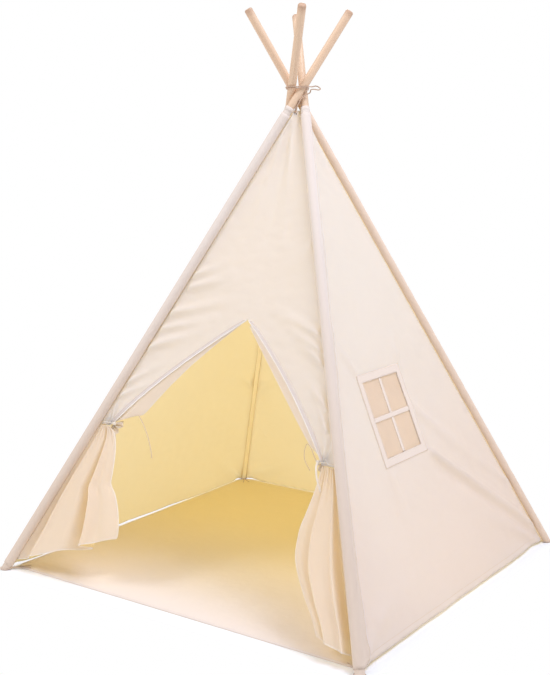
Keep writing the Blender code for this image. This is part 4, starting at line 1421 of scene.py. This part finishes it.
def make_mat_tie(corner):
    """A cord round the foot of a sleeve, its ends lying on the corner of the mat."""
    pole = poles[corner]
    radius = mat_tie_radius
    centre = np.array(pole.at(mat_thickness + cloth_gap + radius))
    reach = sleeve_radius + radius + cloth_gap
    long_reach = reach / pole.up.z
    inward = np.array((-pole.sign.x, -pole.sign.y, 0.0)) / math.sqrt(2)
    side_way = np.array((-inward[1], inward[0], 0.0))
    half_gap = 2 * radius
    opening = math.asin(half_gap / reach)
    angles = spread(opening, 2 * math.pi - opening, 36)[:, None]
    loop = centre + inward * long_reach * np.cos(angles) + side_way * reach * np.sin(angles)
    shares = spread(1, 0, 10)[:-1, None]
    out = centre + inward * (long_reach + mat_tie_end * shares)
    bend = side_way * (half_gap + mat_tie_bend * shares ** 2)
    line = np.concatenate([out + bend, loop, (out - bend)[::-1]])
    piece = tube_mesh(f"tie_cord_{corner}", line, radius, string_cloth)
    settle(piece, pole.body, f"mat_tie_{corner}")


make_mat_hem(make_mat())
for corner in corners:
    make_mat_tie(corner)


# Lashing
lash_diameter = 0.0035
lash_gap = 0.0014
lash_clearance = 0.0012
lash_route_step = 0.0049
lash_step = 0.0016
lash_core_share = 0.92
eyelet_lip = 0.0006
strand_bend = 0.0038
lash_low = apex_height + 0.014
lash_start = math.radians(8)
lash_turns = 2
lash_steps = 24
lash_lobes = (3, 0.10, 900.0)
bow_length = 0.032
bow_width = 0.011
strand_knot_size = 0.0032
strand_knot_rise = 0.0075
strand_knot_radius = 0.0017
strand_knot_share = 0.8


def hull_radius(height, angle, reach):
    """How far out a cord lies that is pulled tight round all four poles at a height."""
    ray = np.array((math.cos(angle), math.sin(angle), 0.0))
    facings = np.radians(np.arange(0, 360, 3))
    normals = np.stack([np.cos(facings), np.sin(facings), np.zeros(len(facings))], axis=1)
    lined = np.stack([-normals[:, 1], normals[:, 0], normals[:, 2]], axis=1)
    outs = []
    for pole in poles.values():
        width = reach * np.sqrt(1 - (lined @ np.array(pole.up)) ** 2) / pole.up.z
        outs.append(normals @ np.array(pole.at(height)) + width)
    towards = normals @ ray
    near = towards >= 0.2
    return (np.max(outs, axis=0)[near] / towards[near]).min()


def lashing_turns():
    reach = pole_radius + lash_diameter / 2 + lash_clearance
    turns = []
    for turn in spread(0, lash_turns, lash_turns * lash_steps):
        angle = lash_start + 2 * math.pi * turn
        height = lash_low + (lash_diameter + lash_gap / 2) * turn
        radius = hull_radius(height, angle, reach)
        turns.append(Vector((radius * math.cos(angle), radius * math.sin(angle), height)))
    return turns


def make_lashing():
    """One cord: up from the eyelet, two turns round the poles, a bow, and down to the eyelet again."""
    turns = lashing_turns()
    low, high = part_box("top_eyelet")
    centre = (low + high) / 2
    out, along = Vector(front.out), Vector(front.along)
    radial = Vector((math.cos(lash_start), math.sin(lash_start), 0.0))
    around = Vector((-radial.y, radial.x, 0.0))
    start, end = turns[0], turns[-1]
    apart = lash_diameter + lash_gap
    above = Vector((0.0, 0.0, apart))
    face = centre + out * (eyelet_lip + cloth_gap + lash_diameter / 2)
    first_end, second_end = face - along * (apart / 2), face + along * (apart / 2)
    clear = out * (lash_diameter * 1.6)
    aside = along * strand_bend
    first = [
        first_end,
        first_end.lerp(start, 0.35) + clear - aside * 0.7,
        first_end.lerp(start, 0.72) + clear + radial * lash_diameter - aside * 1.5,
        start - around * (apart * 2.6) + radial * (lash_diameter * 0.9) - above * 0.6,
    ]
    bow_far = end + radial * bow_length - above
    second = [
        end + around * (apart * 1.5) + radial * (lash_diameter * 1.5),
        end + around * (bow_width * 0.8) + radial * (bow_length * 0.55) + above * 0.4,
        bow_far + around * (bow_width * 0.35),
        bow_far - around * (bow_width * 0.45) - above,
        end - around * (bow_width * 0.55) + radial * (bow_length * 0.5) - above * 1.6,
        end + radial * (apart * 1.5) - around * (apart * 1.5) - above * 2.0,
        start - around * (apart * 0.6) + radial * (lash_diameter * 2.2) - above * 1.9,
        second_end.lerp(start, 0.62) + clear * 1.9 + radial * lash_diameter + aside * 0.3,
        second_end.lerp(start, 0.3) + clear * 1.5,
        second_end,
    ]
    rising = smooth_line(first + turns[1:3], lash_route_step)[:-1]
    falling = smooth_line([turns[-2], end] + second, lash_route_step)[1:]
    line = smooth_line([*rising, *turns[2:-1], *falling], lash_step)
    low = lash_low - 0.004
    shares = 0.5 + 0.5 * ease((low - line[:, 2]) / (low - centre.z - 0.006))
    radius = lash_diameter / 2 * lash_core_share
    piece = tube_mesh("twine_lashing", line, radius, twine, 12, shares, lash_lobes)
    settle(piece, "both", "lash_cord")
    make_strand_knot(first_end.lerp(start, 0.42) + clear)


def make_strand_knot(centre):
    """A small knot that ties the two strands together above the eyelet, its twine painted dark as painted
    shade.
    """
    radii = np.full(40, strand_knot_size)
    turns = coil(centre, front.along, front.out, radii, strand_knot_rise, 2.5)
    shares = np.full(len(turns), strand_knot_share)
    piece = tube_mesh("twine_knot", turns, strand_knot_radius, knot_twine_painted_shade, 10, shares)
    settle(piece, "both")


make_lashing()


# Floor, light and backdrop
floor_reach = 12.0
floor_colour = (0.95, 0.95, 0.95)
floor_fade_start = 0.600
floor_fade_end = 0.635
daylight = (0.975, 0.985, 1.060)
coolness = (0.900, 0.970, 1.200)
world_strength = 0.64
lamp_size = 1.8
lamp_aim = Vector((0.0, 0.0, 0.7))
lamps = (
    ("key", 74.0, (-2.4, -2.8, 3.9), daylight),
    ("fill", 86.0, (1.9, 0.0, 4.1), coolness),
    ("back", 60.0, (-2.4, 3.4, 3.0), daylight),
)


def make_floor():
    """A pale floor that the camera sees as white away from the tent."""
    mesh = bpy.data.meshes.new("floor")
    spots = [(x * floor_reach, y * floor_reach, 0) for x, y in corners.values()]
    mesh.from_pydata(spots, [], [(0, 1, 2, 3)])
    made, tree, shader = new_material("floor_paint", 0.9)
    fill(tree, shader, {"Base Color": floor_colour})
    mesh.materials.append(made)
    parts = node(tree, "SeparateXYZ", {0: places_of(tree)}).outputs
    sides = [math_node(tree, "ABSOLUTE", parts[axis]) for axis in (0, 1)]
    far = share_between(tree, math_node(tree, "MAXIMUM", *sides), floor_fade_start, floor_fade_end)
    seen = node(tree, "LightPath").outputs["Is Camera Ray"]
    white = node(tree, "Emission").outputs[0]
    mix_surface(tree, math_node(tree, "MULTIPLY", far, seen), shader.outputs[0], white)
    link("floor", mesh)


def make_world():
    """A soft light from all sides that the camera sees as white."""
    world = bpy.data.worlds.new("studio")
    bpy.context.scene.world = world
    world.use_nodes = True
    tree = world.node_tree
    paths = node(tree, "LightPath").outputs
    shown = math_node(tree, "MAXIMUM", paths["Is Camera Ray"], paths["Is Glossy Ray"])
    shown = math_node(tree, "MAXIMUM", shown, paths["Is Transmission Ray"])
    strength = math_node(tree, "ADD", math_node(tree, "MULTIPLY", shown, 1 - world_strength), world_strength)
    tint = mix_colour(tree, shown, daylight, (1.0, 1.0, 1.0))
    fill(tree, tree.nodes["Background"], {"Strength": strength, "Color": tint})


def make_lamps():
    for name, energy, place, colour in lamps:
        data = bpy.data.lights.new(name, "AREA")
        data.size = lamp_size
        data.energy = energy
        data.color = colour
        lamp = link(name, data)
        lamp.location = place
        lamp.rotation_mode = "QUATERNION"
        lamp.rotation_quaternion = (lamp_aim - lamp.location).to_track_quat("-Z", "Y")


make_floor()
make_world()
make_lamps()
bpy.context.scene.view_settings.view_transform = "Standard"
